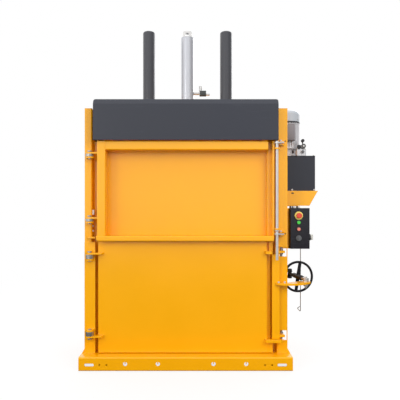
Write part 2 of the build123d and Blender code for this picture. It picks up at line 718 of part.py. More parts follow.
def rear_screw():
    screw = along_screw(Pos(0, 0, REAR_SHANK / 2 + 6) * Cylinder(SCREW / 2, REAR_SHANK), SCREW_LENGTH)
    high = SCREW_LEVEL + SCREW / 2 + 2
    low = SCREW_LEVEL - SCREW / 2 - 2
    x, y = ANCHOR
    screw += rod_z(x, y, (low, high), 1.6 * SCREW_PIN)
    past = ANCHOR_PLATE + NUT_HEIGHT + 2
    screw += rod_z(x, y, (low - past, high + past), SCREW_PIN)
    for z in (low - ANCHOR_PLATE - SEAT - NUT_HEIGHT, high + ANCHOR_PLATE + SEAT):
        screw += Pos(x, y, z) * extrude(RegularPolygon(SCREW_PIN * 0.9, 6), NUT_HEIGHT)
    return screw


def anchor_bracket():
    """The two plates on the chamber wall between which the rear screw's eye is held."""
    x, y = ANCHOR
    plates = []
    gap = SCREW / 2 + 2
    for z in (SCREW_LEVEL + gap + SEAT / 2, SCREW_LEVEL - gap - SEAT / 2 - ANCHOR_PLATE):
        shape = [(OUTER, y - 3 * SCREW_PIN), (OUTER, y + 3 * SCREW_PIN)]
        shape += [(x, y + SCREW_PIN), (x, y - SCREW_PIN)]
        plates.append(eye_plate(x, y, SCREW_PIN, shape, (z, z + ANCHOR_PLATE), SCREW_PIN + 2 * RUN))
    return plates


def handwheel():
    """The wheel: round rim, two flat spokes and the long hub that turns on both screws."""
    rim_radius = (WHEEL - WHEEL_RIM) / 2
    wheel = Torus(rim_radius, WHEEL_RIM / 2)
    hub = Cylinder(HUB / 2, HUB_LENGTH)
    hub = fillet(hub.edges(), 4)
    spoke = Polyline((-15, 0), (-11, rim_radius), (11, rim_radius), (15, 0), close=True)
    arm = extrude(make_face(spoke), 5, both=True)
    arm = fillet(arm.edges().group_by(SortBy.LENGTH)[-1], 3)
    arms = arm + Rot(0, 0, 180) * arm
    wheel = Rot(0, 0, 180 - WHEEL_TILT) * (wheel + arms) + hub
    wheel -= Cylinder(SCREW / 2 + RUN, 2 * HUB_LENGTH)
    return along_screw(wheel, HUB_FROM_FRONT)


def top_cover():
    """The folded cover: upright face, slanted band, top and two closed ends with rounded corners."""
    front = -COVER_FRONT
    back = JAMB_Y - 2 * COLUMN_WALL
    knee = COVER_TOP - COVER_BEVEL
    slant = front + COVER_BEVEL * 0.6
    outer = [(back, COVER_BOTTOM), (front, COVER_BOTTOM), (front, knee)]
    outer += [(slant, COVER_TOP), (back, COVER_TOP)]
    half = WEB - SEAT
    shell = run_x(outline(outer), (-half, half))
    corners = shell.edges().filter_by(Axis.Y).group_by(Axis.Z)[-1]
    shell = fillet(corners, COVER_CORNER)
    t = COVER_SHEET
    inner = [(back + 1, COVER_BOTTOM - 1), (front + t, COVER_BOTTOM - 1), (front + t, knee - 1)]
    inner += [(slant + t / 2, COVER_TOP - t), (back + 1, COVER_TOP - t)]
    hollow = run_x(outline(inner), (-half + t, half - t))
    corners = hollow.edges().filter_by(Axis.Y).group_by(Axis.Z)[-1]
    return shell - fillet(corners, COVER_CORNER - t)


def crosshead():
    """Two channels between the walls, joined by the plate that the cylinder and guides stand on."""
    z = (CROSSHEAD_BOTTOM, CROSSHEAD_BOTTOM + CROSSHEAD_HEIGHT)
    frame = None
    for side in (-1, 1):
        near = side * CROSSHEAD_WIDTH / 2
        far = near + side * CROSSHEAD_FLANGE
        path = [(far, z[0]), (near, z[0]), (near, z[1]), (far, z[1])]
        beam = run_x(folded(path, -CROSSHEAD_WALL if side > 0 else CROSSHEAD_WALL), (-INNER, INNER))
        frame = beam if frame is None else frame + beam
    half = GUIDE_SPACING / 2 + GUIDE_TUBE
    plate = block((-half, half), (-CROSSHEAD_WIDTH / 2, CROSSHEAD_WIDTH / 2), (HEAD_Z - HEAD_PLATE, HEAD_Z))
    frame += plate
    frame -= rod_z(0, 0, (z[0], z[1] + 1), BARREL + 2 * RUN)
    for side in (-1, 1):
        frame -= rod_z(side * GUIDE_SPACING / 2, 0, (z[0], z[1] + 1), GUIDE_ROD + 2 * RUN)
    return frame


def cylinder_barrel():
    """The barrel, open at its top, with a gland at its foot and the flange that it hangs from."""
    low = PLATEN_TOP + PLATEN_BEAM + 6
    barrel = rod_z(0, 0, (low, BARREL_TOP), BARREL)
    barrel += rod_z(0, 0, (HEAD_Z, HEAD_Z + HEAD_PLATE), BARREL * 1.4)
    barrel -= rod_z(0, 0, (low + GLAND, BARREL_TOP + 1), BARREL - 2 * BARREL_WALL)
    barrel -= rod_z(0, 0, (low - 1, low + GLAND + 1), PISTON_ROD + 2 * RUN)
    return barrel


def cylinder_cap():
    cap = rod_z(0, 0, (BARREL_TOP, BARREL_TOP + 18), BARREL)
    half = CAP_LUG_WIDTH / 2
    lug = block((-half, half), (-18, 18), (BARREL_TOP + 18, BARREL_TOP + CAP_LUG_HEIGHT))
    lug -= rod_y(0, (-30, 30), BARREL_TOP + 18 + (CAP_LUG_HEIGHT - 18) / 2, 30)
    return cap + chamfer(lug.edges().filter_by(Axis.Y), 5)


def guide_tube(side):
    """One guide tube, closed by its rounded top."""
    x = side * GUIDE_SPACING / 2
    tube = rod_z(x, 0, (HEAD_Z, GUIDE_TOP), GUIDE_TUBE)
    tube = fillet(tube.edges().sort_by(Axis.Z)[-1:], 10)
    return tube - rod_z(x, 0, (HEAD_Z - 1, GUIDE_TOP - 8), GUIDE_ROD + 4)


def piston_rod():
    low = PLATEN_TOP
    rod = rod_z(0, 0, (low, BARREL_TOP - 30), PISTON_ROD)
    bore = BARREL - 2 * BARREL_WALL - 2 * RUN
    return rod + rod_z(0, 0, (BARREL_TOP - 45, BARREL_TOP - 5), bore)


def guide_rod(side):
    return rod_z(side * GUIDE_SPACING / 2, 0, (PLATEN_TOP, GUIDE_TOP - 20), GUIDE_ROD)


def platen():
    """The press plate with five bars under it and two channels welded across its top."""
    half = INNER - PLATEN_CLEARANCE
    y = (DOOR_BACK + PLATEN_CLEARANCE, CHAMBER_REAR - PLATEN_CLEARANCE)
    plate = block((-half, half), y, (PLATEN_BOTTOM + PLATEN_BAR, PLATEN_TOP))
    for bar in floor_bars((PLATEN_BOTTOM, PLATEN_BOTTOM + PLATEN_BAR), y, half, "above"):
        plate += bar
    for side in (-1, 1):
        near = side * 60
        far = side * 120
        z = (PLATEN_TOP, PLATEN_TOP + PLATEN_BEAM)
        path = [(far, z[0]), (near, z[0]), (near, z[1]), (far, z[1])]
        plate += run_x(folded(path, -side * 8), (-half, half))
    return plate


def pack_tray():
    """The folded tray for the power pack: a shelf between two slanted gussets."""
    bottom = TRAY_TOP - TRAY_DEPTH
    y = (-TRAY_FRONT, -TRAY_FRONT + TANK_LENGTH + 4 * TRAY_CORNER)
    gusset = [(OUTER, bottom), (TRAY_REACH - TRAY_SLANT, bottom), (TRAY_REACH, TRAY_TOP), (OUTER, TRAY_TOP)]
    tray = block((OUTER, TRAY_REACH), y, (TRAY_TOP - TRAY_SHEET, TRAY_TOP))
    tray += block((OUTER, OUTER + TRAY_SHEET), y, (bottom, TRAY_TOP))
    for start in (y[0], y[1] - TRAY_SHEET):
        tray += run_y(outline(gusset), (start, start + TRAY_SHEET))
    slot = Pos(OUTER + 190, TRAY_TOP - 18) * SlotOverall(20, 9)
    return tray - run_y(slot, (y[0] - 1, y[0] + TRAY_SHEET + 1))


def oil_tank():
    """The welded tank, open at its top."""
    x = (TANK_LEFT, TANK_RIGHT)
    y = (TANK_Y, TANK_Y + TANK_LENGTH)
    tank = fillet(block(x, y, (TRAY_TOP, TANK_TOP - TANK_LID)).edges().filter_by(Axis.Z), 10)
    t = TANK_WALL
    inside = (TRAY_TOP + t, TANK_TOP)
    return tank - block((x[0] + t, x[1] - t), (y[0] + t, y[1] - t), inside)


def tank_lid():
    """The lid, which laps over the tank's front, back and inner side."""
    x = (TANK_LEFT - PASS, TANK_RIGHT)
    y = (TANK_Y - PASS, TANK_Y + TANK_LENGTH + PASS)
    return fillet(block(x, y, (TANK_TOP - TANK_LID, TANK_TOP)).edges().filter_by(Axis.Z), 10)


def tank_filler():
    x = TANK_RIGHT - 45
    y = TANK_Y + TANK_LENGTH - 60
    neck = rod_z(x, y, (TANK_TOP, TANK_TOP + 14), 50)
    return neck + fillet(rod_z(x, y, (TANK_TOP + 14, TANK_TOP + 44), 62).edges().group_by(Axis.Z)[-1], 6)


def motor_bell():
    """The bell housing under the motor: waisted, hollow, with six windows round it."""
    waist = MOTOR / 2 - 26
    points = [(0, 0), (MOTOR / 2 - 4, 0), (MOTOR / 2 - 4, 12), (waist, 22), (waist, BELL_HEIGHT - 14)]
    points += [(MOTOR / 2 - 2, BELL_HEIGHT - 8), (MOTOR / 2 - 2, BELL_HEIGHT), (0, BELL_HEIGHT)]
    bell = revolve(Plane.XZ * outline(points), Axis.Z)
    bell -= rod_z(0, 0, (BELL_WALL, BELL_HEIGHT - BELL_WALL), 2 * (waist - BELL_WALL))
    window = (BELL_HEIGHT * 0.42, BELL_HEIGHT * 0.72)
    for number in range(3):
        bell -= Rot(0, 0, number * 60) * block((-MOTOR, MOTOR), (-BELL_WALL * 1.5, BELL_WALL * 1.5), window)
    return bell


def motor_body():
    """The motor: its bell housing on the tank lid and a cast body with upright fins."""
    fins = Circle(MOTOR_BODY / 2)
    fin = Pos((MOTOR_BODY / 2 + MOTOR / 2) / 2 - 3, 0) * Rectangle((MOTOR - MOTOR_BODY) / 2 + 6, 4)
    for number in range(MOTOR_FINS):
        fins += Rot(0, 0, number * 360 / MOTOR_FINS) * fin
    body = motor_bell() + extrude(Plane.XY.offset(BELL_HEIGHT) * fins, BODY_HEIGHT)
    return Pos(MOTOR_X, MOTOR_Y, TANK_TOP) * body


def fan_cowl():
    low = TANK_TOP + BELL_HEIGHT + BODY_HEIGHT
    cowl = rod_z(MOTOR_X, MOTOR_Y, (low, low + COWL_HEIGHT), MOTOR + 4)
    cowl = fillet(cowl.edges().sort_by(Axis.Z)[-1:], 34)
    return fillet(cowl.edges().sort_by(Axis.Z)[:1], 3)


def terminal_box():
    """The box for the motor's leads, on the side of the body, with its sloped lid."""
    y = MOTOR_Y - MOTOR / 2
    low = TANK_TOP + BELL_HEIGHT + BODY_HEIGHT / 4
    box = block((MOTOR_X - 34, MOTOR_X + 34), (y - 34, y), (low, low + BODY_HEIGHT * 2 / 3))
    return fillet(box.edges().group_by(Axis.Y)[0], 7)


def valve_block():
    """The valve block on the tank lid, with a round cartridge in its front."""
    y = (VALVE_FRONT, VALVE_FRONT + VALVE_DEPTH)
    x = (VALVE_X - VALVE_WIDTH / 2, VALVE_X + VALVE_WIDTH / 2)
    body = chamfer(block(x, y, (TANK_TOP, TANK_TOP + VALVE_HEIGHT)).edges().filter_by(Axis.Z), 4)
    cartridge = rod_y(VALVE_X + COIL / 4, (y[0] - 10, y[0]), TANK_TOP + VALVE_HEIGHT - COIL / 2, COIL * 0.75)
    return body + cartridge


def valve_coils():
    """The two coils on the valve block, the large one facing the front with a knob on a stem above it."""
    top = TANK_TOP + VALVE_HEIGHT
    x = VALVE_X + COIL / 2
    axis = top + COIL * 0.72
    y = (VALVE_FRONT + 6, VALVE_FRONT + VALVE_DEPTH - 8)
    large = rod_y(x, y, axis, COIL)
    large = fillet(large.edges().group_by(Axis.Y)[0], 2)
    large += rod_y(x, (y[0] - 6, y[0]), axis, COIL * 0.4)
    large += block((x - COIL / 4, x + COIL / 4), (y[0] + 6, y[1] - 6), (top, axis))
    large += rod_z(x - 5, y[0] + 12, (axis, axis + COIL), 9)
    large += rod_y(x - 5, (y[0] - 2, y[0] + 20), axis + COIL * 1.15, 24)
    right = x - COIL / 2 - PASS
    small = block((right - 22, right), (y[0] + 8, y[1]), (top, top + COIL))
    return [large, fillet(small.edges().filter_by(Axis.Y).group_by(Axis.Z)[-1], 6)]


def control_box():
    """The control housing, closed, with rounded edges and the peg for the strap hook behind it."""
    x = (BOX_LEFT, BOX_LEFT + BOX_WIDTH)
    y = (-BOX_FRONT, -BOX_FRONT + BOX_DEPTH)
    box = block(x, y, (BOX_BOTTOM, BOX_BOTTOM + BOX_HEIGHT))
    box = fillet(box.edges().filter_by(Axis.Z), 6)
    box = fillet(box.edges().group_by(Axis.Y)[0], 3)
    peg = rod_y(PEG_X, (y[1], y[1] + 46), PEG_Z, PEG)
    peg += rod_y(PEG_X, (y[1] + 46, y[1] + 50), PEG_Z, 2 * PEG)
    for level in (STOP_LEVEL, GREEN_LEVEL, RED_LEVEL, SELECTOR_LEVEL):
        box -= rod_y(CONTROL_X, (y[0] - 1, y[0] + 12), level, STEM + 2 * SEAT)
    return box + peg


def box_bracket():
    """The folded plate that carries the control box from the chamber wall."""
    front = -BOX_FRONT + 38
    path = [(OUTER, front + 66), (OUTER, front), (BOX_LEFT, front), (BOX_LEFT, front + 84)]
    return raise_z(folded(path, DOOR_SHEET), (BOX_BOTTOM, BOX_BOTTOM + BOX_HEIGHT))


def control_ring(level, diameter, depth):
    """A ring on the front of the box round the stem of one control."""
    ring = rod_y(CONTROL_X, (-BOX_FRONT - depth, -BOX_FRONT), level, diameter)
    ring = fillet(ring.edges().group_by(Axis.Y)[0], 1.5)
    return ring - rod_y(CONTROL_X, (-BOX_FRONT - depth - 1, -BOX_FRONT + 1), level, STEM + 2 * SEAT)


def push_button(level, diameter, depth, crown):
    """A button: a stem in its bezel's bore and a head clear of the bezel by its travel."""
    start = -BOX_FRONT - depth
    head = rod_y(CONTROL_X, (start - BUTTON_TRAVEL - crown, start - BUTTON_TRAVEL), level, diameter)
    head = fillet(head.edges().group_by(Axis.Y)[0], min(crown, diameter) * 0.3)
    return head + rod_y(CONTROL_X, (start - BUTTON_TRAVEL, -BOX_FRONT + 6), level, STEM)


def selector():
    """The selector: a round boss with a flat grip across it."""
    start = -BOX_FRONT - BEZEL - SEAT
    knob = rod_y(CONTROL_X, (start - 8, start), SELECTOR_LEVEL, 40)
    z = (SELECTOR_LEVEL - 17, SELECTOR_LEVEL + 17)
    grip = block((CONTROL_X - 5, CONTROL_X + 5), (start - 22, start - 8), z)
    grip = fillet(grip.edges().filter_by(Axis.Y), 4)
    return knob + grip + rod_y(CONTROL_X, (start, -BOX_FRONT + 10), SELECTOR_LEVEL, STEM)


def isolator_base():
    side = BOX_LEFT + BOX_WIDTH
    base = rod_x((side, side + 20), ISOLATOR_Y, ISOLATOR_Z, 48)
    return base - rod_x((side + 6, side + 21), ISOLATOR_Y, ISOLATOR_Z, STEM + 2 * RUN)


def isolator_knob():
    """The isolator's turning knob: a round plate with a raised grip."""
    side = BOX_LEFT + BOX_WIDTH + 20 + SEAT
    knob = rod_x((side, side + 7), ISOLATOR_Y, ISOLATOR_Z, 44)
    grip = block((side + 7, side + 20), (ISOLATOR_Y - 5, ISOLATOR_Y + 5), (ISOLATOR_Z - 20, ISOLATOR_Z + 20))
    grip = fillet(grip.edges().filter_by(Axis.X), 4)
    return knob + grip + rod_x((side - 10, side), ISOLATOR_Y, ISOLATOR_Z, STEM)


def strap_hook():
    """A thin steel rod: a ring round its peg at the top, a small bent hook at its foot."""
    ring_radius = PEG
    y = PEG_Y
    ring_z = PEG_Z + PEG / 2 - ring_radius + HOOK_WIRE / 2 + SEAT
    ring = Pos(PEG_X, y, ring_z) * Rot(90, 0, 0) * Torus(ring_radius, HOOK_WIRE / 2)
    low = HOOK_FOOT
    top = ring_z - ring_radius
    points = [(PEG_X, y, top), (PEG_X, y, low), (PEG_X - 24, y, low + 28), (PEG_X - 5, y, low + 42)]
    path = FilletPolyline(*points, radius=4)
    section = Plane(origin=path @ 0, z_dir=path % 0) * Circle(HOOK_WIRE / 2)
    return ring + sweep(section, path=path)


def lock_pins():
    """The two pivot pins of the lock, each with a nut under its lower plate."""
    pins = []
    for level in (LOWER_WINDOW, UPPER_WINDOW):
        half = WINDOW_HEIGHT / 2 + PIN_SHELF
        pin = rod_z(PIVOT_X, PIVOT_Y, (level - half - 12, level + half + 4), PIVOT_PIN)
        nut = Pos(PIVOT_X, PIVOT_Y, level - half - 12 - SEAT / 2) * extrude(RegularPolygon(16, 6), 12)
        head = Pos(PIVOT_X, PIVOT_Y, level + half) * extrude(RegularPolygon(16, 6), 10)
        collar = rod_z(PIVOT_X, PIVOT_Y, (level + 8 + SEAT, level + 20), PIVOT_PIN + 10)
        low_collar = rod_z(PIVOT_X, PIVOT_Y, (level - 20, level - 8 - SEAT), PIVOT_PIN + 10)
        pins.append(pin + nut + head + collar + low_collar)
    return pins


def cylinder_valve():
    """The small valve beside the barrel, on the pipe from the barrel's side port."""
    z = PORT_LEVEL
    pipe = rod_x((BARREL / 2 + SEAT, 96), 0, z, 22)
    valve = block((96, 149), (-20, 20), (z - 19, z + 19))
    valve = fillet(valve.edges().filter_by(Axis.X), 4)
    return [pipe + valve, rod_z(104, 0, (z + 19, z + 58), 24), rod_x((149, 178), 0, z - 8, 18)]


def sensor_strip():
    """The narrow sensor and two bolts on the left column's web beside the feed door."""
    x = -(COLUMN_EDGE - LEFT_FLANGE)
    low = FEED_HINGES[0] + SENSOR_RISE
    strip = block((x, x + 12), (FACE_Y + 10, FACE_Y + 30), (low, low + SENSOR_LENGTH))
    bolts = [rod_x((x, x + 8), FACE_Y + 20, FEED_HINGES[0] - drop, NUT_HEIGHT) for drop in SENSOR_BOLT_DROPS]
    return [strip] + bolts


def save(name, shape):
    """Writes one sub-part, a single solid or a group of like solids."""
    if isinstance(shape, list):
        solids = [solid for piece in shape for solid in piece.solids()]
        shape = Compound(children=solids)
    elif len(shape.solids()) == 1:
        shape = shape.solids()[0]
    shape.label = name
    export_step(shape, os.path.join("parts", name + ".step"))


hinges = [hinge_stack(level, FEED_COLLAR_HEIGHT, False, FACE_Y) for level in FEED_HINGES]
low_hinge, high_hinge = BALE_HINGES
hinges.append(hinge_stack(low_hinge, BALE_COLLAR_HEIGHT, True, FACE_Y - STIFFENER_WALL))
hinges.append(hinge_stack(high_hinge, BALE_COLLAR_HEIGHT, False, FACE_Y - STIFFENER_WALL))
keepers = [keeper(level) for level in HOOK_LEVELS]
keeper_plates = [plate for plates, pin in keepers for plate in plates]
floor_y = (JAMB_Y + DOOR_GAP, CHAMBER_REAR)

parts = {
    "base_front_beam": end_beam(-BASE_FRONT, JAMB_Y, True),
    "base_rear_beam": end_beam(BASE_REAR, CHAMBER_REAR - REAR_SHELF, False),
    "base_side_beams": [side_beam(-1), side_beam(1)],
    "floor_deck": floor_deck(floor_y),
    "floor_bars": floor_bars((BASE_HEIGHT + DECK, FLOOR), floor_y, INNER, "below"),
    "side_walls": [side_wall(-1), side_wall(1)],
    "rear_wall": block((-OUTER, OUTER), (CHAMBER_REAR, CHAMBER_REAR + WALL), (BASE_HEIGHT, FRAME_TOP)),
    "wall_ribs": wall_ribs(),
    "left_column": left_column(),
    "right_column": right_column(),
    "crosshead": crosshead(),
    "top_cover": top_cover(),
    "cylinder_barrel": cylinder_barrel(),
    "cylinder_cap": cylinder_cap(),
    "guide_tubes": [guide_tube(-1), guide_tube(1)],
    "cylinder_valve": cylinder_valve(),
    "frame_lugs": [hinge[0] for hinge in hinges] + keeper_plates + [rest_lug()],
    "hinge_pins": [hinge[1] for hinge in hinges],
    "sensor_strip": sensor_strip(),
    "feed_panel": feed_panel(),
    "feed_left_post": feed_left_post(),
    "feed_top_rail": feed_top_rail(),
    "feed_bottom_rail": feed_bottom_rail(),
    "feed_right_stile": feed_right_stile(),
    "feed_lugs": feed_lugs(),
    "door_rod": door_rod(),
    "bale_skin": bale_skin(),
    "bale_backing": bale_backing(),
    "bale_edge": bale_edge(),
    "bale_lugs": bale_lugs(),
    "lock_post": lock_post(),
    "lever_plate": lever_plate(),
    "lock_pins": lock_pins() + [pin for plates, pin in keepers],
    "handwheel": handwheel(),
    "front_screw": front_screw(),
    "rear_screw": rear_screw(),
    "anchor_bracket": anchor_bracket(),
    "platen": platen(),
    "piston_rod": piston_rod(),
    "guide_rods": [guide_rod(-1), guide_rod(1)],
    "pack_tray": pack_tray(),
    "oil_tank": oil_tank(),
    "tank_lid": tank_lid(),
    "tank_filler": tank_filler(),
    "motor_body": motor_body(),
    "fan_cowl": fan_cowl(),
    "terminal_box": terminal_box(),
    "valve_block": valve_block(),
    "valve_coils": valve_coils(),
    "control_box": control_box(),
    "box_bracket": box_bracket(),
    "stop_collar": control_ring(STOP_LEVEL, 60, STOP_COLLAR),
    "control_bezels": [
        control_ring(GREEN_LEVEL, 32, BEZEL),
        control_ring(RED_LEVEL, 32, BEZEL),
        control_ring(SELECTOR_LEVEL, 46, BEZEL),
    ],
    "stop_button": push_button(STOP_LEVEL, 40, STOP_COLLAR, 14),
    "green_button": push_button(GREEN_LEVEL, 25, BEZEL, 5),
    "red_button": push_button(RED_LEVEL, 25, BEZEL, 5),
    "selector": selector(),
    "isolator_base": isolator_base(),
    "isolator_knob": isolator_knob(),
    "strap_hook": strap_hook(),
}

os.makedirs("parts", exist_ok=True)
for part_name, part_shape in parts.items():
    save(part_name, part_shape)
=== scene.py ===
import math

import bmesh
import bpy
from mathutils import Matrix, Vector


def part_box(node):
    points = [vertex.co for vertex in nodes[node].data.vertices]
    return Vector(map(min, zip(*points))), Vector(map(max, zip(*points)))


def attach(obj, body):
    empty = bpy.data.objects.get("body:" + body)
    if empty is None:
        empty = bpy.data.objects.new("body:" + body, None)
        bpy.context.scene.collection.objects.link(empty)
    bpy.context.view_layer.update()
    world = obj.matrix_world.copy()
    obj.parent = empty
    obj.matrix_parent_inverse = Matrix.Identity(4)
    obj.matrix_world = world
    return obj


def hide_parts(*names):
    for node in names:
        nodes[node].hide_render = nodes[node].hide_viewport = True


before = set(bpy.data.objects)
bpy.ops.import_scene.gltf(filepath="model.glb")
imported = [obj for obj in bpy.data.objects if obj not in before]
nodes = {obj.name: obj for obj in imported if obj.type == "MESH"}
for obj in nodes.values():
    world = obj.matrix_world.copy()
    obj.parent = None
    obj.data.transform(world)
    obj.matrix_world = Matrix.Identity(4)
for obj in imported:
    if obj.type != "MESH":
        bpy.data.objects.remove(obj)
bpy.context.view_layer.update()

# The base: two folded end beams and two side beams, welded and powder-coated in satin orange.
# Forklifts and pallet trucks scuff its lower edges, and its folds are painted paler, partly as worn coat and
# partly as painted highlight.

FLOAT, VECTOR = "NodeSocketFloat", "NodeSocketVector"


def new_group(name, inputs, outputs):
    """A shader group with named sockets; each input is (name, kind, value)."""
    tree = bpy.data.node_groups.new(name, "ShaderNodeTree")
    for label, kind, value in inputs:
        socket = tree.interface.new_socket(name=label, in_out="INPUT", socket_type=kind)
        socket.default_value = value
    for label, kind in outputs:
        tree.interface.new_socket(name=label, in_out="OUTPUT", socket_type=kind)
    return tree, tree.nodes.new("NodeGroupInput"), tree.nodes.new("NodeGroupOutput")


def add(tree, kind, settings=None, **links):
    """One node; settings are its properties, links its inputs by place (i0, i1) or by name."""
    node = tree.nodes.new(kind)
    for key, value in (settings or {}).items():
        setattr(node, key, value)
    for key, value in links.items():
        number = key[1:]
        socket = node.inputs[int(number)] if number.isdigit() else node.inputs[key.replace("_", " ")]
        if isinstance(value, bpy.types.NodeSocket):
            tree.links.new(value, socket)
        else:
            socket.default_value = value
    return node


def ramp(tree, value, low, high, start, end):
    """Takes a value from one range to another and stops at its ends."""
    return add(tree, "ShaderNodeMapRange", None, i0=value, i1=low, i2=high, i3=start, i4=end).outputs[0]


def build_edge_group():
    """Rounds the look of sharp edges and marks them: 0 on a flat, 1 on an edge."""
    tree, into, out = new_group("Edge", [("Radius", FLOAT, 0.002)], [("Normal", VECTOR), ("Mask", FLOAT)])
    soft = add(tree, "ShaderNodeBevel", {"samples": 6}, Radius=into.outputs["Radius"])
    flat = add(tree, "ShaderNodeNewGeometry")
    dot = add(tree, "ShaderNodeVectorMath", {"operation": "DOT_PRODUCT"}, i0=soft.outputs[0],
              i1=flat.outputs["Normal"])
    tree.links.new(soft.outputs[0], out.inputs["Normal"])
    tree.links.new(ramp(tree, dot.outputs["Value"], 0.995, 0.80, 0.0, 1.0), out.inputs["Mask"])
    return tree


def build_skin_group():
    """The unevenness of a sprayed, cast or moulded skin, and the fine scuffs of use on it."""
    inputs = [("Fine Scale", FLOAT, 900.0), ("Coarse Scale", FLOAT, 3.0)]
    outputs = [("Height", FLOAT), ("Tone", FLOAT), ("Scuff", FLOAT)]
    tree, into, out = new_group("Skin", inputs, outputs)
    spot = add(tree, "ShaderNodeTexCoord").outputs["Object"]
    fine = add(tree, "ShaderNodeTexNoise", None, Vector=spot, Scale=into.outputs["Fine Scale"], Detail=2.0)
    coarse = add(tree, "ShaderNodeTexNoise", None, Vector=spot, Scale=into.outputs["Coarse Scale"],
                 Detail=4.0)
    drawn = add(tree, "ShaderNodeMapping", None, Vector=spot, Rotation=(0.0, 0.22, 0.1), Scale=(5, 5, 260))
    streak = add(tree, "ShaderNodeTexNoise", None, Vector=drawn.outputs[0], Scale=1.0, Detail=3.0)
    patch = add(tree, "ShaderNodeTexNoise", None, Vector=spot, Scale=4.5, Detail=1.0)
    line = ramp(tree, streak.outputs[0], 0.64, 0.70, 0.0, 1.0)
    where = ramp(tree, patch.outputs[0], 0.50, 0.62, 0.0, 1.0)
    scuff = add(tree, "ShaderNodeMath", {"operation": "MULTIPLY"}, i0=line, i1=where)
    tree.links.new(fine.outputs[0], out.inputs["Height"])
    tree.links.new(coarse.outputs[0], out.inputs["Tone"])
    tree.links.new(scuff.outputs[0], out.inputs["Scuff"])
    return tree


edge_group = build_edge_group()
skin_group = build_skin_group()


def coat(name, colour, edge_wear_and_shading_colour, rough, grain=900.0, bump=0.04, tone=0.05, edge_wear_and_shading=0.4, metal=0.0,
         radius=0.002, gloss_spread=0.12, specular=0.5, scuffs=0.25):
    """A finish: colour with slow tone changes, a second colour on the edges that is partly wear and partly
    painted edge highlight and shade, scuffs, uneven gloss and a fine bump.
    """
    material = bpy.data.materials.new(name)
    material.use_nodes = True
    tree = material.node_tree
    shader = tree.nodes["Principled BSDF"]
    edge = add(tree, "ShaderNodeGroup", {"node_tree": edge_group}, Radius=radius)
    skin = add(tree, "ShaderNodeGroup", {"node_tree": skin_group})
    skin.inputs["Fine Scale"].default_value = grain
    shade = ramp(tree, skin.outputs["Tone"], 0.3, 0.7, 1.0 - tone, 1.0 + tone)
    toned = add(tree, "ShaderNodeVectorMath", {"operation": "SCALE"}, i0=colour, Scale=shade)
    # The edge mask lays the second colour on every edge: partly wear, partly painted highlight where it is
    # paler and painted shade where it is darker.
    edge_wear_and_shading_mask = add(tree, "ShaderNodeMath", {"operation": "MULTIPLY"}, i0=edge.outputs["Mask"], i1=edge_wear_and_shading)
    scuffed = add(tree, "ShaderNodeMath", {"operation": "MULTIPLY"}, i0=skin.outputs["Scuff"], i1=scuffs)
    amount = add(tree, "ShaderNodeMath", {"operation": "MAXIMUM"}, i0=edge_wear_and_shading_mask.outputs[0], i1=scuffed.outputs[0])
    mixed = add(tree, "ShaderNodeMix", {"data_type": "RGBA"})
    tree.links.new(amount.outputs[0], mixed.inputs[0])
    tree.links.new(toned.outputs[0], mixed.inputs[6])
    mixed.inputs[7].default_value = (*edge_wear_and_shading_colour, 1.0)
    gloss = ramp(tree, skin.outputs["Tone"], 0.25, 0.75, rough - gloss_spread / 2, rough + gloss_spread / 2)
    dulled = add(tree, "ShaderNodeMath", {"operation": "MULTIPLY_ADD"}, i0=scuffed.outputs[0], i1=0.35,
                 i2=gloss)
    raised = add(tree, "ShaderNodeBump", None, Strength=bump, Distance=0.001)
    tree.links.new(skin.outputs["Height"], raised.inputs["Height"])
    tree.links.new(edge.outputs["Normal"], raised.inputs["Normal"])
    tree.links.new(mixed.outputs[2], shader.inputs["Base Color"])
    tree.links.new(dulled.outputs[0], shader.inputs["Roughness"])
    tree.links.new(raised.outputs[0], shader.inputs["Normal"])
    shader.inputs["Metallic"].default_value = metal
    shader.inputs["Specular IOR Level"].default_value = specular
    return material


def dress(material, *names):
    """Gives CAD nodes their finish."""
    for name in names:
        for number in range(len(nodes[name].data.materials)):
            nodes[name].data.materials[number] = material


# The paler orange on its edges is partly worn coat and partly painted highlight on the folds.
orange = coat("Orange powder coat", (0.93, 0.414, 0.0), (0.97, 0.50, 0.03), 0.22, tone=0.02, edge_wear_and_shading=0.45,
              specular=0.60, gloss_spread=0.04, scuffs=0.12)
dress(orange, "base_front_beam", "base_rear_beam", "base_side_beams")


def new_grower(name, inputs):
    """A geometry tree that takes a seed mesh, named values and a material, and puts out one shape."""
    tree = bpy.data.node_groups.new(name, "GeometryNodeTree")
    sockets = [("Geometry", "INPUT", "NodeSocketGeometry")]
    sockets += [(label, "INPUT", kind) for label, kind in inputs]
    sockets += [("Material", "INPUT", "NodeSocketMaterial"), ("Geometry", "OUTPUT", "NodeSocketGeometry")]
    for label, side, kind in sockets:
        tree.interface.new_socket(name=label, in_out=side, socket_type=kind)
    return tree, tree.nodes.new("NodeGroupInput"), tree.nodes.new("NodeGroupOutput")


def paint_grown(tree, into, out, shape):
    """Ends a geometry tree: gives the shape its material and puts it out."""
    painted = add(tree, "GeometryNodeSetMaterial", None, i0=shape)
    tree.links.new(into.outputs["Material"], painted.inputs["Material"])
    tree.links.new(painted.outputs[0], out.inputs[0])
    return tree


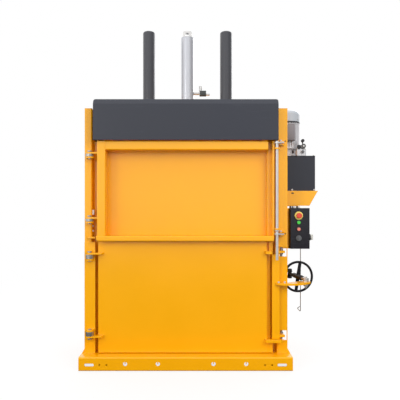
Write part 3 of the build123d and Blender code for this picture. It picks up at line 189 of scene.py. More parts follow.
def build_weld_tree():
    """Lays overlapping drops of weld metal along every line of a mesh."""
    tree, into, out = new_grower("Weld bead", [("Radius", FLOAT), ("Pitch", FLOAT)])
    line = add(tree, "GeometryNodeMeshToCurve", None, Mesh=into.outputs["Geometry"])
    steps = add(tree, "GeometryNodeResampleCurve", {"mode": "LENGTH"}, Curve=line.outputs[0])
    tree.links.new(into.outputs["Pitch"], steps.inputs["Length"])
    drop = add(tree, "GeometryNodeMeshIcoSphere", None, Radius=into.outputs["Radius"], Subdivisions=2)
    jitter = add(tree, "FunctionNodeRandomValue", {"data_type": "FLOAT"}, Seed=7)
    jitter.inputs[2].default_value = 0.88
    jitter.inputs[3].default_value = 1.08
    laid = add(tree, "GeometryNodeInstanceOnPoints", None, Points=steps.outputs[0], Instance=drop.outputs[0])
    tree.links.new(jitter.outputs[1], laid.inputs["Scale"])
    real = add(tree, "GeometryNodeRealizeInstances", None, i0=laid.outputs[0])
    smooth = add(tree, "GeometryNodeSetShadeSmooth", None, i0=real.outputs[0])
    return paint_grown(tree, into, out, smooth.outputs[0])


def grow(name, tree, points, lines, body, slot, axes=None, **inputs):
    """Runs a geometry tree over a few points or lines and keeps the mesh that it makes."""
    seed = bpy.data.meshes.new(name + "_seed")
    seed.from_pydata(points, lines, [])
    if axes:
        held = seed.attributes.new("axis", "FLOAT_VECTOR", "POINT")
        held.data.foreach_set("vector", [value for axis in axes for value in axis])
    carrier = bpy.data.objects.new(name + "_seed", seed)
    bpy.context.scene.collection.objects.link(carrier)
    modifier = carrier.modifiers.new("grow", "NODES")
    modifier.node_group = tree
    for item in tree.interface.items_tree:
        if item.in_out == "INPUT" and item.name in inputs:
            modifier[item.identifier] = inputs[item.name]
    carrier.update_tag()
    made = carrier.evaluated_get(bpy.context.evaluated_depsgraph_get())
    mesh = bpy.data.meshes.new_from_object(made)
    mesh.name = name
    carrier.modifiers.remove(modifier)
    bpy.data.objects.remove(carrier)
    return place(name, mesh, body)


def place(name, mesh, body):
    """Puts a finished mesh in the scene, riding on its body."""
    piece = bpy.data.objects.new(name, mesh)
    bpy.context.scene.collection.objects.link(piece)
    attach(piece, body)
    return piece


weld_tree = build_weld_tree()


def weld(name, runs, body, radius=0.0028, material=orange, slot="paint"):
    """Weld beads along straight runs, each a pair of end points."""
    points = [end for run in runs for end in run]
    lines = [(number * 2, number * 2 + 1) for number in range(len(runs))]
    return grow(name, weld_tree, points, lines, body, slot, Radius=radius, Pitch=radius * 1.35,
                Material=material)


def stitches(start, end, length, count):
    """Short runs spaced evenly between two points, as ribs are welded to keep a plate flat."""
    start, end = Vector(start), Vector(end)
    way = (end - start).normalized()
    gap = ((end - start).length - length) / (count - 1)
    return [(start + way * gap * number, start + way * (gap * number + length)) for number in range(count)]


def make_piece(name, mesh, body, material):
    """Turns a built mesh into a piece with smooth faces, crisp edges and one material."""
    data = bpy.data.meshes.new(name)
    mesh.to_mesh(data)
    mesh.free()
    for face in data.polygons:
        face.use_smooth = True
    data.set_sharp_from_angle(angle=math.radians(35))
    data.materials.append(material)
    return place(name, data, body)


def case(name, low, high, body, material, radius=0.002, segments=2):
    """A rounded box between two corners."""
    mesh = bmesh.new()
    bmesh.ops.create_cube(mesh, size=1.0)
    size = Vector(high) - Vector(low)
    centre = (Vector(high) + Vector(low)) / 2
    mesh.transform(Matrix.Translation(centre) @ Matrix.Diagonal((*size, 1.0)))
    if radius:
        bmesh.ops.bevel(mesh, geom=list(mesh.edges), offset=radius, segments=segments, profile=0.5,
                        affect="EDGES")
    bmesh.ops.recalc_face_normals(mesh, faces=mesh.faces)
    return make_piece(name, mesh, body, material)


low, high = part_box("base_front_beam")
beam_wall, stiffener_gap, stiffener_wall = 0.006, 0.020, 0.006
for side, word in ((-1, "left"), (1, "right")):
    ends = sorted((side * 0.532, side * 0.632))
    case(f"beam_stiffener_{word}", (ends[0], low.y + stiffener_gap, 0.004),
         (ends[1], low.y + stiffener_gap + stiffener_wall, high.z - beam_wall + 0.0005), "frame",
         orange, 0.001)
runs = []
for column, inset in (("left_column", 0.0), ("right_column", 0.047)):
    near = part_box(column)[0]
    inner, face = near.x + inset, near.y - 0.001
    runs.append(((inner + 0.004, face, high.z), (inner + 0.075, face, high.z)))
weld("column_foot_welds", runs, "frame")

# The chamber floor: a deck plate on cross channels, with raised channels between which the bale
# straps run. Bales slide out over the raised channels, so their coat is rubbed through in places.

rubbed = coat("Rubbed orange coat", (0.86, 0.37, 0.01), (0.50, 0.47, 0.42), 0.45, tone=0.08, edge_wear_and_shading=0.85,
              radius=0.004, scuffs=0.9)
dress(orange, "floor_deck")
dress(rubbed, "floor_bars")

# The chamber: two side walls and a rear wall, stiffened outside by folded channels that are
# stitch-welded along both edges, so that the plate stays flat.

dress(orange, "side_walls", "rear_wall", "wall_ribs")
rib_half = 0.035
side_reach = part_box("side_walls")[1]
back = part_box("rear_wall")[1].y
runs = []
for level in (0.330, 0.720, 1.330):
    for edge in (-rib_half - 0.001, rib_half + 0.001):
        for side in (-1, 1):
            x = side * (side_reach.x + 0.0005)
            runs += stitches((x, -0.30, level + edge), (x, 0.36, level + edge), 0.040, 4)
        runs += stitches((-0.56, back + 0.0005, level + edge), (0.56, back + 0.0005, level + edge), 0.040, 6)
weld("rib_welds", runs, "frame", 0.0035)

# The front columns, folded from heavy plate. The left one is doubled on its lower half, where the
# bale door hangs. Two small dark domes on the right column's face are painted shade, set on two dark spots of
# shade there.

dress(orange, "left_column", "right_column")


def lathe(name, profile, origins, axis, body, material, segments=32):
    """Turned pieces: (radius, height) points spun about an axis through each origin."""
    mesh = bmesh.new()
    turn = Vector((0, 0, 1)).rotation_difference(Vector(axis)).to_matrix().to_4x4()
    rings = []
    for origin in origins:
        spot = Matrix.Translation(Vector(origin)) @ turn
        for radius, height in profile:
            circle = []
            for number in range(1 if radius < 1e-6 else segments):
                angle = 2 * math.pi * number / segments
                point = Vector((radius * math.cos(angle), radius * math.sin(angle), height))
                circle.append(mesh.verts.new(spot @ point))
            rings.append(circle)
    joints = [number for number in range(len(rings) - 1) if (number + 1) % len(profile)]
    for near, far in ((rings[number], rings[number + 1]) for number in joints):
        for number in range(segments):
            after = (number + 1) % segments
            if len(near) == 1:
                corners = [near[0], far[number], far[after]]
            elif len(far) == 1:
                corners = [near[number], near[after], far[0]]
            else:
                corners = [near[number], near[after], far[after], far[number]]
            mesh.faces.new(corners)
    bmesh.ops.recalc_face_normals(mesh, faces=mesh.faces)
    return make_piece(name, mesh, body, material)


# Painted shade: dark-brown domes stand for two small spots of shade on the right column's face.
shade_spot_paint = coat("Painted shade spot", (0.020, 0.010, 0.006), (0.06, 0.04, 0.03), 0.55, bump=0.08)
column_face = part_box("right_column")[0].y
dome = [(0.0045, 0.0), (0.0045, 0.0006), (0.0030, 0.0014), (0.0, 0.0016)]
for number, level in enumerate((0.9575, 1.6265)):
    lathe(f"shade_spot_{number}", dome, [(0.716, column_face, level)], (0, -1, 0), "frame",
          shade_spot_paint, 20)

# The crosshead: two channels between the side walls and the plate on which the press cylinder
# and its guide tubes stand.

dress(orange, "crosshead")

# The press cylinder hangs through the crosshead by its flange, which eight bolts hold. It is painted
# silver, a thin plate closes its top, and a zinc-plated lifting eye stands on that.

silver = coat("Silver cylinder paint", (0.55, 0.56, 0.59), (0.70, 0.71, 0.73), 0.33, metal=0.6, tone=0.03,
              grain=1600.0, bump=0.03, specular=0.6)
dress(silver, "cylinder_barrel")
zinc = coat("Zinc plating", (0.48, 0.46, 0.42), (0.74, 0.73, 0.71), 0.34, metal=0.85, tone=0.14, bump=0.05,
            grain=380.0, edge_wear_and_shading=0.5)
pale_zinc = coat("Bright zinc plating", (0.66, 0.65, 0.63), (0.80, 0.80, 0.79), 0.30, metal=0.55, tone=0.07,
                 bump=0.03, grain=380.0, edge_wear_and_shading=0.5)
barrel_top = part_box("cylinder_barrel")[1].z
barrel_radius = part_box("cylinder_cap")[1].x
plate_height = 0.0035
closing = [(0.0, 0.0), (barrel_radius, 0.0), (barrel_radius, 0.0008), (barrel_radius - 0.004, plate_height),
           (0.0, plate_height)]
lathe("cylinder_closing_plate", closing, [(0, 0, barrel_top)], (0, 0, 1), "frame", silver, 64)


def lifting_eye(half, foot, top, inner, depth, corner=0.011, straight=0.020):
    """An arch cut from thick plate, open at its foot, with rounded shoulders."""
    outline = [(-half, foot)]
    for side, first in ((-1, 180), (1, 90)):
        for step in range(7):
            angle = math.radians(first - 15 * step)
            outline.append((side * (half - corner) + corner * math.cos(angle),
                            top - corner + corner * math.sin(angle)))
    outline += [(half, foot), (inner, foot)]
    for step in range(13):
        angle = math.radians(15 * step)
        outline.append((inner * math.cos(angle), foot + straight + inner * math.sin(angle)))
    outline.append((-inner, foot))
    mesh = bmesh.new()
    front = mesh.faces.new([mesh.verts.new((x, -depth, z)) for x, z in outline])
    swept = bmesh.ops.extrude_face_region(mesh, geom=[front])["geom"]
    for vertex in swept:
        if isinstance(vertex, bmesh.types.BMVert):
            vertex.co.y = depth
    bmesh.ops.recalc_face_normals(mesh, faces=mesh.faces)
    sharp = [edge for edge in mesh.edges if abs(edge.verts[0].co.y - edge.verts[1].co.y) < 1e-6]
    bmesh.ops.bevel(mesh, geom=sharp, offset=0.0015, segments=2, profile=0.5, affect="EDGES")
    return make_piece("cylinder_eye", mesh, "frame", pale_zinc)


eye = lifting_eye(half=0.0345, foot=barrel_top + plate_height - 0.0001, top=2.565, inner=0.016, depth=0.018)
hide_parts("cylinder_cap")


def build_screw_tree():
    """Puts a screw head with its washer and chamfered crown at every vertex, along the vertex's axis."""
    inputs = [("Sides", "NodeSocketInt"), ("Head", FLOAT), ("Height", FLOAT), ("Washer", FLOAT),
              ("Washer Height", FLOAT), ("Crown", FLOAT)]
    tree, into, out = new_grower("Screw heads", inputs)

    def half(value):
        """Half of a width or height."""
        return add(tree, "ShaderNodeMath", {"operation": "MULTIPLY"}, i0=value, i1=0.5).outputs[0]

    def lifted(shape, height):
        """The shape, moved up by a height."""
        shift = add(tree, "ShaderNodeCombineXYZ", None, Z=height)
        moved = add(tree, "GeometryNodeTransform", None, Geometry=shape, Translation=shift.outputs[0])
        return moved.outputs[0]

    disc = add(tree, "GeometryNodeMeshCylinder", None, Vertices=24, Radius=half(into.outputs["Washer"]),
               Depth=into.outputs["Washer Height"])
    washer = lifted(disc.outputs[0], half(into.outputs["Washer Height"]))
    prism = add(tree, "GeometryNodeMeshCylinder", None, Vertices=into.outputs["Sides"],
                Radius=half(into.outputs["Head"]), Depth=into.outputs["Height"])
    middle = add(tree, "ShaderNodeMath", {"operation": "ADD"}, i0=half(into.outputs["Height"]),
                 i1=into.outputs["Washer Height"])
    head = lifted(prism.outputs[0], middle.outputs[0])
    base = add(tree, "ShaderNodeMath", {"operation": "MULTIPLY"}, i0=half(into.outputs["Head"]), i1=0.86)
    tip = add(tree, "ShaderNodeMath", {"operation": "MULTIPLY"}, i0=half(into.outputs["Head"]), i1=0.62)
    cone = add(tree, "GeometryNodeMeshCone", None, Vertices=24, Radius_Top=tip.outputs[0],
               Radius_Bottom=base.outputs[0], Depth=into.outputs["Crown"])
    top = add(tree, "ShaderNodeMath", {"operation": "ADD"}, i0=into.outputs["Height"],
              i1=into.outputs["Washer Height"])
    crown = lifted(cone.outputs[0], top.outputs[0])
    joined = tree.nodes.new("GeometryNodeJoinGeometry")
    for shape in (washer, head, crown):
        tree.links.new(shape, joined.inputs[0])
    axis = add(tree, "GeometryNodeInputNamedAttribute", {"data_type": "FLOAT_VECTOR"}, Name="axis")
    turn = add(tree, "FunctionNodeAlignRotationToVector", {"axis": "Z"})
    tree.links.new(axis.outputs[0], turn.inputs["Vector"])
    spin = add(tree, "FunctionNodeRandomValue", {"data_type": "FLOAT"}, Seed=11)
    spin.inputs[3].default_value = math.pi / 3
    about = add(tree, "FunctionNodeAxisAngleToRotation", None, i0=(0.0, 0.0, 1.0), i1=spin.outputs[1])
    both = add(tree, "FunctionNodeRotateRotation", {"rotation_space": "LOCAL"}, i0=turn.outputs[0],
               i1=about.outputs[0])
    laid = add(tree, "GeometryNodeInstanceOnPoints", None, Points=into.outputs["Geometry"],
               Instance=joined.outputs[0], Rotation=both.outputs[0])
    real = add(tree, "GeometryNodeRealizeInstances", None, i0=laid.outputs[0])
    return paint_grown(tree, into, out, real.outputs[0])


screw_tree = build_screw_tree()


def screws(name, spots, body, across, height, washer=0.0, material=zinc, slot="zinc", sides=6):
    """Screw heads at (point, axis) spots; across is the head's width over its corners."""
    points = [point for point, axis in spots]
    axes = [axis for point, axis in spots]
    return grow(name, screw_tree, points, [], body, slot, axes, Sides=sides, Head=across, Height=height,
                Washer=washer or across * 0.9, **{"Washer Height": 0.0016 if washer else 0.0004},
                Crown=height * 0.16, Material=material)


def ring(centre, radius, count, axis=(0, 0, 1), start=0.0):
    """Evenly spaced spots on a level circle."""
    spots = []
    for number in range(count):
        angle = start + 2 * math.pi * number / count
        point = (centre[0] + radius * math.cos(angle), centre[1] + radius * math.sin(angle), centre[2])
        spots.append((point, axis))
    return spots


flange_top, bolt_inset = 1.820, 0.010
flange_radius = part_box("cylinder_barrel")[1].x
spots = ring((0, 0, flange_top), flange_radius - bolt_inset, 8, start=math.pi / 8)
screws("cylinder_flange_bolts", spots, "frame", 0.0185, 0.0075)

# The small valve on the cylinder's side port: a pale elbow and fittings, and the valve's dark body.

valve_paint = coat("Dark valve casting", (0.045, 0.050, 0.045), (0.20, 0.21, 0.20), 0.45, grain=500.0,
                   bump=0.10)
dress(pale_zinc, "cylinder_valve")
valve_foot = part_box("cylinder_valve")[0].z
case("cylinder_valve_body", (0.0974, -0.0206, valve_foot - 0.0006), (0.1496, 0.0206, valve_foot + 0.0386),
     "frame", valve_paint)

# The guide tubes, which cover the rods that keep the platen level. They are closed by rounded caps
# and welded to the crosshead plate all round.

tube_paint = coat("Anthracite tube coat", (0.043, 0.044, 0.052), (0.12, 0.125, 0.14), 0.38, tone=0.04,
                  specular=0.6)
tube_low, tube_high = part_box("guide_tubes")
tube_radius, bore, tube_top, shoulder, crown = 0.0478, 0.037, 2.560, 0.014, 0.0042
tube_length = tube_top - tube_low.z
turned = [(0.0, tube_length - crown), (bore, tube_length - crown), (bore, 0.0), (tube_radius, 0.0)]
for step in range(7):
    angle = math.radians(15 * step)
    turned.append((tube_radius - shoulder + shoulder * math.cos(angle),
                   tube_length - shoulder + shoulder * math.sin(angle)))
turned.append((0.0, tube_length))
tube_spots = [(side * (tube_high.x - tube_radius), 0, tube_low.z) for side in (-1, 1)]
tubes = lathe("guide_tube_pair", turned, tube_spots, (0, 0, 1), "frame", tube_paint, 64)
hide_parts("guide_tubes")
runs = []
for foot_centre in tube_spots:
    spots = [point for point, axis in ring(foot_centre, tube_radius, 24)]
    runs += list(zip(spots, spots[1:] + spots[:1]))
weld("guide_tube_welds", runs, "frame", 0.0035)

# The top cover, folded from thin sheet with a slanted band along its top edge and anthracite inside
# and out. It is screwed to the columns' webs through its two ends.

anthracite = coat("Anthracite powder coat", (0.021, 0.024, 0.036), (0.09, 0.10, 0.13), 0.38, tone=0.05,
                  specular=0.55)
dress(anthracite, "top_cover")

# Hinges: lugs welded to the left column, with collared zinc-plated pins through them. A narrow
# white sensor and two bolts sit beside the feed door.

dress(orange, "frame_lugs")
dress(zinc, "hinge_pins")
white_plastic = coat("White plastic", (0.68, 0.66, 0.60), (0.78, 0.77, 0.72), 0.40, bump=0.05, grain=1500.0,
                     scuffs=0.1)
dress(white_plastic, "sensor_strip")
runs = []
for face, levels in ((-0.408, (1.0477, 1.0357, 1.5107, 1.4987)), (-0.414, (0.2733, 0.2613, 0.7807, 0.7687))):
    runs += [((-0.713, face, level), (-0.663, face, level)) for level in levels]
for level in (0.945, 0.951, 0.967, 0.973, 1.591, 1.597, 1.613, 1.619):
    runs.append(((0.674, -0.408, level), (0.710, -0.408, level)))
weld("lug_welds", runs, "frame", 0.0022)

# The press platen, with strap grooves between its bars, hangs on the piston rod and two guide rods.
# Its underside is rubbed bright by the bales, and the rods are ground and chromed.

chrome = coat("Hard chrome", (0.78, 0.79, 0.81), (0.88, 0.88, 0.88), 0.12, metal=1.0, tone=0.02, bump=0.01,
              scuffs=0.1, gloss_spread=0.06)
bright = coat("Bright drawn steel", (0.66, 0.67, 0.68), (0.80, 0.80, 0.80), 0.26, metal=1.0, tone=0.04)
dress(rubbed, "platen")
dress(chrome, "piston_rod")
dress(bright, "guide_rods")

# The bale door: a folded skin on a backing plate with upright channels, a set-back right edge where
# the lock stands, hinge arms on the left and two heavy lugs on the right.

dress(orange, "bale_skin", "bale_backing", "bale_edge", "bale_lugs")
door_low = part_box("bale_skin")[0]
face = door_low.y - 0.0005
runs = []
for level in (0.2187, 0.2307, 0.8113, 0.8233):
    runs.append(((door_low.x + 0.002, face, level), (door_low.x + 0.040, face, level)))
for level, right in ((0.182, 0.622), (0.202, 0.575), (0.814, 0.575), (0.834, 0.590)):
    runs.append(((0.568, face, level), (right, face, level)))
weld("bale_door_welds", runs, "bale_door", 0.0022)

# The feed door: a recessed panel framed by a left post, a top rail, a stepped right stile and a sill
# that stands proud. The rails butt against the posts and are welded along the joints.

dress(orange, "feed_panel", "feed_left_post", "feed_top_rail", "feed_bottom_rail", "feed_right_stile",
      "feed_lugs")
post_low, post_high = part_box("feed_left_post")
post_edge, rail_face, post_face = post_high.x - 0.0005, post_low.y + 0.0005, post_low.y - 0.0003
weld("feed_door_welds", [
    ((post_edge, rail_face, post_high.z - 0.062), (post_edge, rail_face, post_high.z - 0.003)),
    ((post_low.x + 0.003, post_face, post_low.z), (post_high.x - 0.002, post_face, post_low.z)),
], "feed_door", 0.0012)

# The door rod: a zinc-plated bar in two bearing plates on the feed door. Its two hooks turn round
# the keeper pins on the column, which have domed heads.

rod_zinc = coat("Galvanised bar", (0.62, 0.615, 0.60), (0.74, 0.74, 0.73), 0.34, metal=0.4, tone=0.03,
                bump=0.02, grain=300.0, edge_wear_and_shading=0.2, scuffs=0.0, gloss_spread=0.05)
dress(rod_zinc, "door_rod")
pin_head = [(0.0, 0.0), (0.0095, 0.0), (0.0095, 0.005), (0.006, 0.009), (0.0, 0.010)]
for number, level in enumerate((0.9742, 1.6202)):
    lathe(f"keeper_pin_head_{number}", pin_head, [(0.6749, -0.4536, level)], (0, 0, 1), "frame",
          pale_zinc, 24)

# The bale door's lock: an upright post that turns on two pins behind the column's windows and
# presses the door's edge, and the flat lever that is bolted to it.

dress(orange, "lock_post", "lever_plate")
dress(zinc, "lock_pins")
lever_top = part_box("lever_plate")[1].z
spots = [((0.706, -0.4435, lever_top), (0, 0, 1)), ((0.664, -0.4385, lever_top), (0, 0, 1))]
screws("lever_bolts", spots, "lock_post", 0.0150, 0.0080, 0.0165, pale_zinc)

# The screw drive: a front screw pinned to the lever, a rear screw held at the bracket, and between
# them the handwheel's long hub, which draws both together as it is turned.

wheel_paint = coat("Black wheel coat", (0.010, 0.010, 0.014), (0.10, 0.10, 0.115), 0.52, tone=0.12, edge_wear_and_shading=0.5,
                   radius=0.002, scuffs=0.2, specular=0.28)
bracket_paint = coat("Dark bracket coat", (0.020, 0.020, 0.024), (0.10, 0.10, 0.11), 0.5)
dress(wheel_paint, "handwheel")
dress(bracket_paint, "anchor_bracket")
slope = math.radians(8.9)
line = Vector((math.sin(slope), -math.cos(slope), 0.0))


def threaded(name, colour, edge_wear_and_shading_colour, rough, origin, axis, pitch, metal):
    """A plated finish cut with a screw thread about the given axis."""
    material = coat(name, colour, edge_wear_and_shading_colour, rough, metal=metal, tone=0.10)
    tree = material.node_tree
    shader = tree.nodes["Principled BSDF"]
    spot = add(tree, "ShaderNodeTexCoord").outputs["Object"]
    shifted = add(tree, "ShaderNodeVectorMath", {"operation": "SUBTRACT"}, i0=spot, i1=tuple(origin)).outputs[0]
    along = add(tree, "ShaderNodeVectorMath", {"operation": "DOT_PRODUCT"}, i0=shifted, i1=tuple(axis))
    across = Vector((0, 0, 1)).cross(Vector(axis)).normalized()
    side = add(tree, "ShaderNodeVectorMath", {"operation": "DOT_PRODUCT"}, i0=shifted, i1=tuple(across))
    height = add(tree, "ShaderNodeSeparateXYZ", None, i0=shifted).outputs[2]
    angle = add(tree, "ShaderNodeMath", {"operation": "ARCTAN2"}, i0=height, i1=side.outputs["Value"])
    turns = add(tree, "ShaderNodeMath", {"operation": "MULTIPLY"}, i0=angle.outputs[0], i1=1 / (2 * math.pi))
    steps = add(tree, "ShaderNodeMath", {"operation": "MULTIPLY_ADD"}, i0=along.outputs["Value"],
                i1=1 / pitch, i2=turns.outputs[0])
    wave = add(tree, "ShaderNodeMath", {"operation": "PINGPONG"}, i0=steps.outputs[0], i1=0.5)
    cut = add(tree, "ShaderNodeBump", None, Strength=0.9, Distance=0.0016)
    tree.links.new(wave.outputs[0], cut.inputs["Height"])
    tree.links.new(shader.inputs["Normal"].links[0].from_socket, cut.inputs["Normal"])
    tree.links.new(cut.outputs[0], shader.inputs["Normal"])
    return material


thread = threaded("Threaded zinc", (0.72, 0.71, 0.68), (0.86, 0.85, 0.83), 0.32, (0.872, -0.375, 0.622), line,
                  0.004, 0.7)
dark_thread = threaded("Threaded dark steel", (0.030, 0.030, 0.034), (0.14, 0.14, 0.15), 0.36,
                       (0.828, -0.090, 0.622), line, 0.004, 0.3)
dress(thread, "front_screw")
dress(dark_thread, "rear_screw")

# The power pack's tray, folded from plate and bolted to the chamber wall, and the welded oil tank
# that stands on it. The tank's two front feet are bolted down, and small screws hold its lid.

dress(orange, "pack_tray")
tank_paint = coat("Anthracite tank coat", (0.016, 0.018, 0.027), (0.08, 0.085, 0.11), 0.36, tone=0.05)
dress(tank_paint, "oil_tank", "tank_lid")
black = coat("Black moulded plastic", (0.018, 0.018, 0.020), (0.06, 0.06, 0.065), 0.42, grain=1500.0,
             bump=0.10)
dress(black, "tank_filler")
tank_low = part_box("oil_tank")[0]
lid_low, lid_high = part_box("tank_lid")
spots = [((x, tank_low.y, tank_low.z + 0.0085), (0, -1, 0)) for x in (0.796, 0.962)]
screws("tank_foot_bolts", spots, "frame", 0.0130, 0.0055, material=pale_zinc)
tray_low, tray_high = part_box("pack_tray")
slot_x, slot_z = 0.796, tray_high.z - 0.018
# Painted shade: a near-black block fills the tray's slot, so that the opening reads dark instead of showing the
# orange wall behind.
slot_shade_paint = coat("Painted slot shade", (0.006, 0.005, 0.005), (0.03, 0.03, 0.03), 0.6)
case("tray_slot_shade", (slot_x - 0.0102, tray_low.y + 0.0004, slot_z - 0.0047),
     (slot_x + 0.0102, tray_low.y + 0.0026, slot_z + 0.0047), "frame", slot_shade_paint, 0.0)
spots = []
for x in (lid_low.x + 0.013, (lid_low.x + lid_high.x) / 2, lid_high.x - 0.012):
    spots += [((x, y, lid_high.z), (0, 0, 1)) for y in (lid_low.y + 0.010, lid_high.y - 0.010)]
for step in range(1, 4):
    y = lid_low.y + (lid_high.y - lid_low.y) * step / 4
    spots += [((x, y, lid_high.z), (0, 0, 1)) for x in (lid_low.x + 0.010, lid_high.x - 0.010)]
screws("tank_lid_screws", spots, "frame", 0.0100, 0.0045, 0.0130, zinc, sides=24)

# The motor stands upright on its bell housing. Body and bell are bare cast aluminium, the fan cowl
# is painted pale grey, and a box on the body's front covers the terminals.

aluminium = coat("Cast aluminium", (0.74, 0.73, 0.74), (0.86, 0.85, 0.86), 0.42, grain=420.0, bump=0.14,
                 metal=0.15, tone=0.10, edge_wear_and_shading=0.7)
box_grey = coat("Grey terminal box", (0.225, 0.21, 0.22), (0.36, 0.35, 0.35), 0.38, grain=420.0, bump=0.12,
                tone=0.08, edge_wear_and_shading=0.7)
cowl_paint = coat("Pale cowl paint", (0.46, 0.49, 0.52), (0.62, 0.64, 0.66), 0.30, tone=0.02)
dress(aluminium, "motor_body")
dress(box_grey, "terminal_box")
dress(cowl_paint, "fan_cowl")
cowl_low, cowl_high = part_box("fan_cowl")
motor = ((cowl_low.x + cowl_high.x) / 2, (cowl_low.y + cowl_high.y) / 2)
cowl_radius = (cowl_high.x - cowl_low.x) / 2
seal = [(cowl_radius - 0.004, 0.0), (cowl_radius + 0.0004, 0.0), (cowl_radius + 0.0004, 0.0085),
        (cowl_radius - 0.004, 0.0085)]
lathe("cowl_seal", seal, [(*motor, cowl_low.z - 0.0006)], (0, 0, 1), "frame", black, 64)


def build_shade_slot_tree():
    """Sets dark bars like the spokes of a wheel round a point, as painted shade for the openings of a grille.
    """
    inputs = [("Count", "NodeSocketInt"), ("Radius", FLOAT), ("Length", FLOAT), ("Width", FLOAT),
              ("Depth", FLOAT)]
    tree, into, out = new_grower("Painted shade slots", inputs)
    size = add(tree, "ShaderNodeCombineXYZ", None, X=into.outputs["Length"], Y=into.outputs["Width"],
               Z=into.outputs["Depth"])
    bar = add(tree, "GeometryNodeMeshCube", None, Size=size.outputs[0])
    circle = add(tree, "GeometryNodeMeshCircle", None, Vertices=into.outputs["Count"],
                 Radius=into.outputs["Radius"])
    spot = add(tree, "GeometryNodeInputPosition")
    turn = add(tree, "FunctionNodeAlignRotationToVector", {"axis": "X"})
    tree.links.new(spot.outputs[0], turn.inputs["Vector"])
    wheel = add(tree, "GeometryNodeInstanceOnPoints", None, Points=circle.outputs[0], Instance=bar.outputs[0],
                Rotation=turn.outputs[0])
    each = add(tree, "GeometryNodeInstanceOnPoints", None, Points=into.outputs["Geometry"],
               Instance=wheel.outputs[0])
    real = add(tree, "GeometryNodeRealizeInstances", None, i0=each.outputs[0])
    return paint_grown(tree, into, out, real.outputs[0])


# Painted shade: thin black bars on the cowl's top stand for the dark openings of its fan grille.
grow("cowl_grille_shade", build_shade_slot_tree(), [(*motor, cowl_high.z)], [], "frame", "black_plastic", Count=26,
     Radius=0.034, Length=0.032, Width=0.0028, Depth=0.0006, Material=black)
screw_reach, screw_level = cowl_radius - 0.001, cowl_low.z + 0.022
spots = []
for angle in (-45, 45, 135, 225):
    across, along = math.cos(math.radians(angle)), math.sin(math.radians(angle))
    point = (motor[0] + screw_reach * across, motor[1] + screw_reach * along, screw_level)
    spots.append((point, (across, along, 0)))
screws("cowl_screws", spots, "frame", 0.0100, 0.0030)
spots = ring((*motor, lid_high.z + 0.012), 0.0735, 4, start=math.pi / 4)
screws("bell_bolts", spots, "frame", 0.0150, 0.0070)
terminal_low, terminal_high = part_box("terminal_box")
lid_face = terminal_low.y - 0.0012
case("terminal_lid", (terminal_low.x + 0.002, lid_face, terminal_low.z + 0.002),
     (terminal_high.x - 0.002, terminal_low.y + 0.004, terminal_high.z - 0.002), "frame", box_grey,
     0.001)
spots = [((x, lid_face, z), (0, -1, 0)) for x in (terminal_low.x + 0.009, terminal_high.x - 0.009)
         for z in (terminal_low.z + 0.010, terminal_high.z - 0.010)]
screws("terminal_lid_screws", spots, "frame", 0.0065, 0.0025, sides=20)

# The valve block on the tank lid is machined aluminium, with a grey cartridge in its front. The two
# black coils on it are held by pale nuts, and the larger one has a bright iron ring round its face.

block_metal = coat("Machined aluminium", (0.60, 0.60, 0.61), (0.76, 0.76, 0.77), 0.34, metal=0.5, tone=0.05,
                   grain=700.0)
dress(block_metal, "valve_block")
dress(black, "valve_coils")
block_low, block_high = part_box("valve_block")
coil_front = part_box("valve_coils")[0].y
coil_x, coil_z, coil_face = 0.8855, 1.61392, -0.2330
grey_plastic = coat("Grey plastic", (0.13, 0.135, 0.14), (0.24, 0.24, 0.25), 0.45, bump=0.06, grain=1500.0)
cartridge = [(0.0, 0.0018), (0.0095, 0.0018), (0.0112, 0.0010), (0.0112, -0.002), (0.0, -0.002)]
lathe("valve_cartridge_face", cartridge, [(0.8765, block_low.y, block_high.z - 0.018)], (0, -1, 0),
      "frame", grey_plastic, 28)
lathe("coil_ring", [(0.0164, 0.0), (0.0164, 0.0022), (0.0184, 0.0022), (0.0184, -0.004), (0.0181, -0.004)],
      [(coil_x, coil_face, coil_z)], (0, -1, 0), "frame", pale_zinc, 40)
lathe("coil_nut", [(0.0, 0.0022), (0.0070, 0.0022), (0.0078, 0.0010), (0.0078, -0.0040), (0.0, -0.0040)],
      [(coil_x, coil_front, coil_z)], (0, -1, 0), "frame", pale_zinc, 28)
spots = [((x, y, block_high.z), (0, 0, 1)) for x in (block_low.x + 0.008, block_high.x - 0.008)
         for y in (block_high.y - 0.049, block_high.y - 0.007)]
screws("valve_block_screws", spots, "frame", 0.0095, 0.0060, sides=20)

# The control box: a moulded dark housing with a seal round its lid, on an orange bracket. Five
# cable glands stand in its top, under the tray.

housing = coat("Control housing", (0.004, 0.0035, 0.008), (0.055, 0.052, 0.065), 0.26, grain=1500.0,
               bump=0.08, edge_wear_and_shading=0.6, radius=0.004)
dress(housing, "control_box")
dress(orange, "box_bracket")
box_left, box_right, box_front, box_bottom, box_top = 0.760, 0.903, -0.365, 0.845, 1.143
seal_depth = box_front + 0.034
case("control_box_seal", (box_left - 0.0004, seal_depth, box_bottom - 0.0004),
     (box_right + 0.0004, seal_depth + 0.0022, box_top + 0.0004), "frame", black, 0.0)
glands = ((0.7705, 0.0140, black, "black_plastic"), (0.7866, 0.0140, grey_plastic, "grey_plastic"),
          (0.8021, 0.0150, white_plastic, "clear"), (0.8206, 0.0160, black, "black_plastic"),
          (0.8365, 0.0150, white_plastic, "clear"))
for number, (x, width, finish, slot) in enumerate(glands):
    radius = width / 2
    lathe(f"cable_gland_{number}",
          [(radius * 1.08, 0.0), (radius * 1.08, 0.004), (radius * 0.90, 0.0045), (radius * 0.90, 0.011),
           (radius * 0.70, 0.0145), (radius * 0.42, 0.0155), (0.0, 0.0155)],
          [(x, box_front + 0.055, box_top)], (0, 0, 1), "frame", finish, 24)

# The controls: an emergency stop with its pale yellow collar, a green and a red push-button in dark
# bezels, and a grey selector.

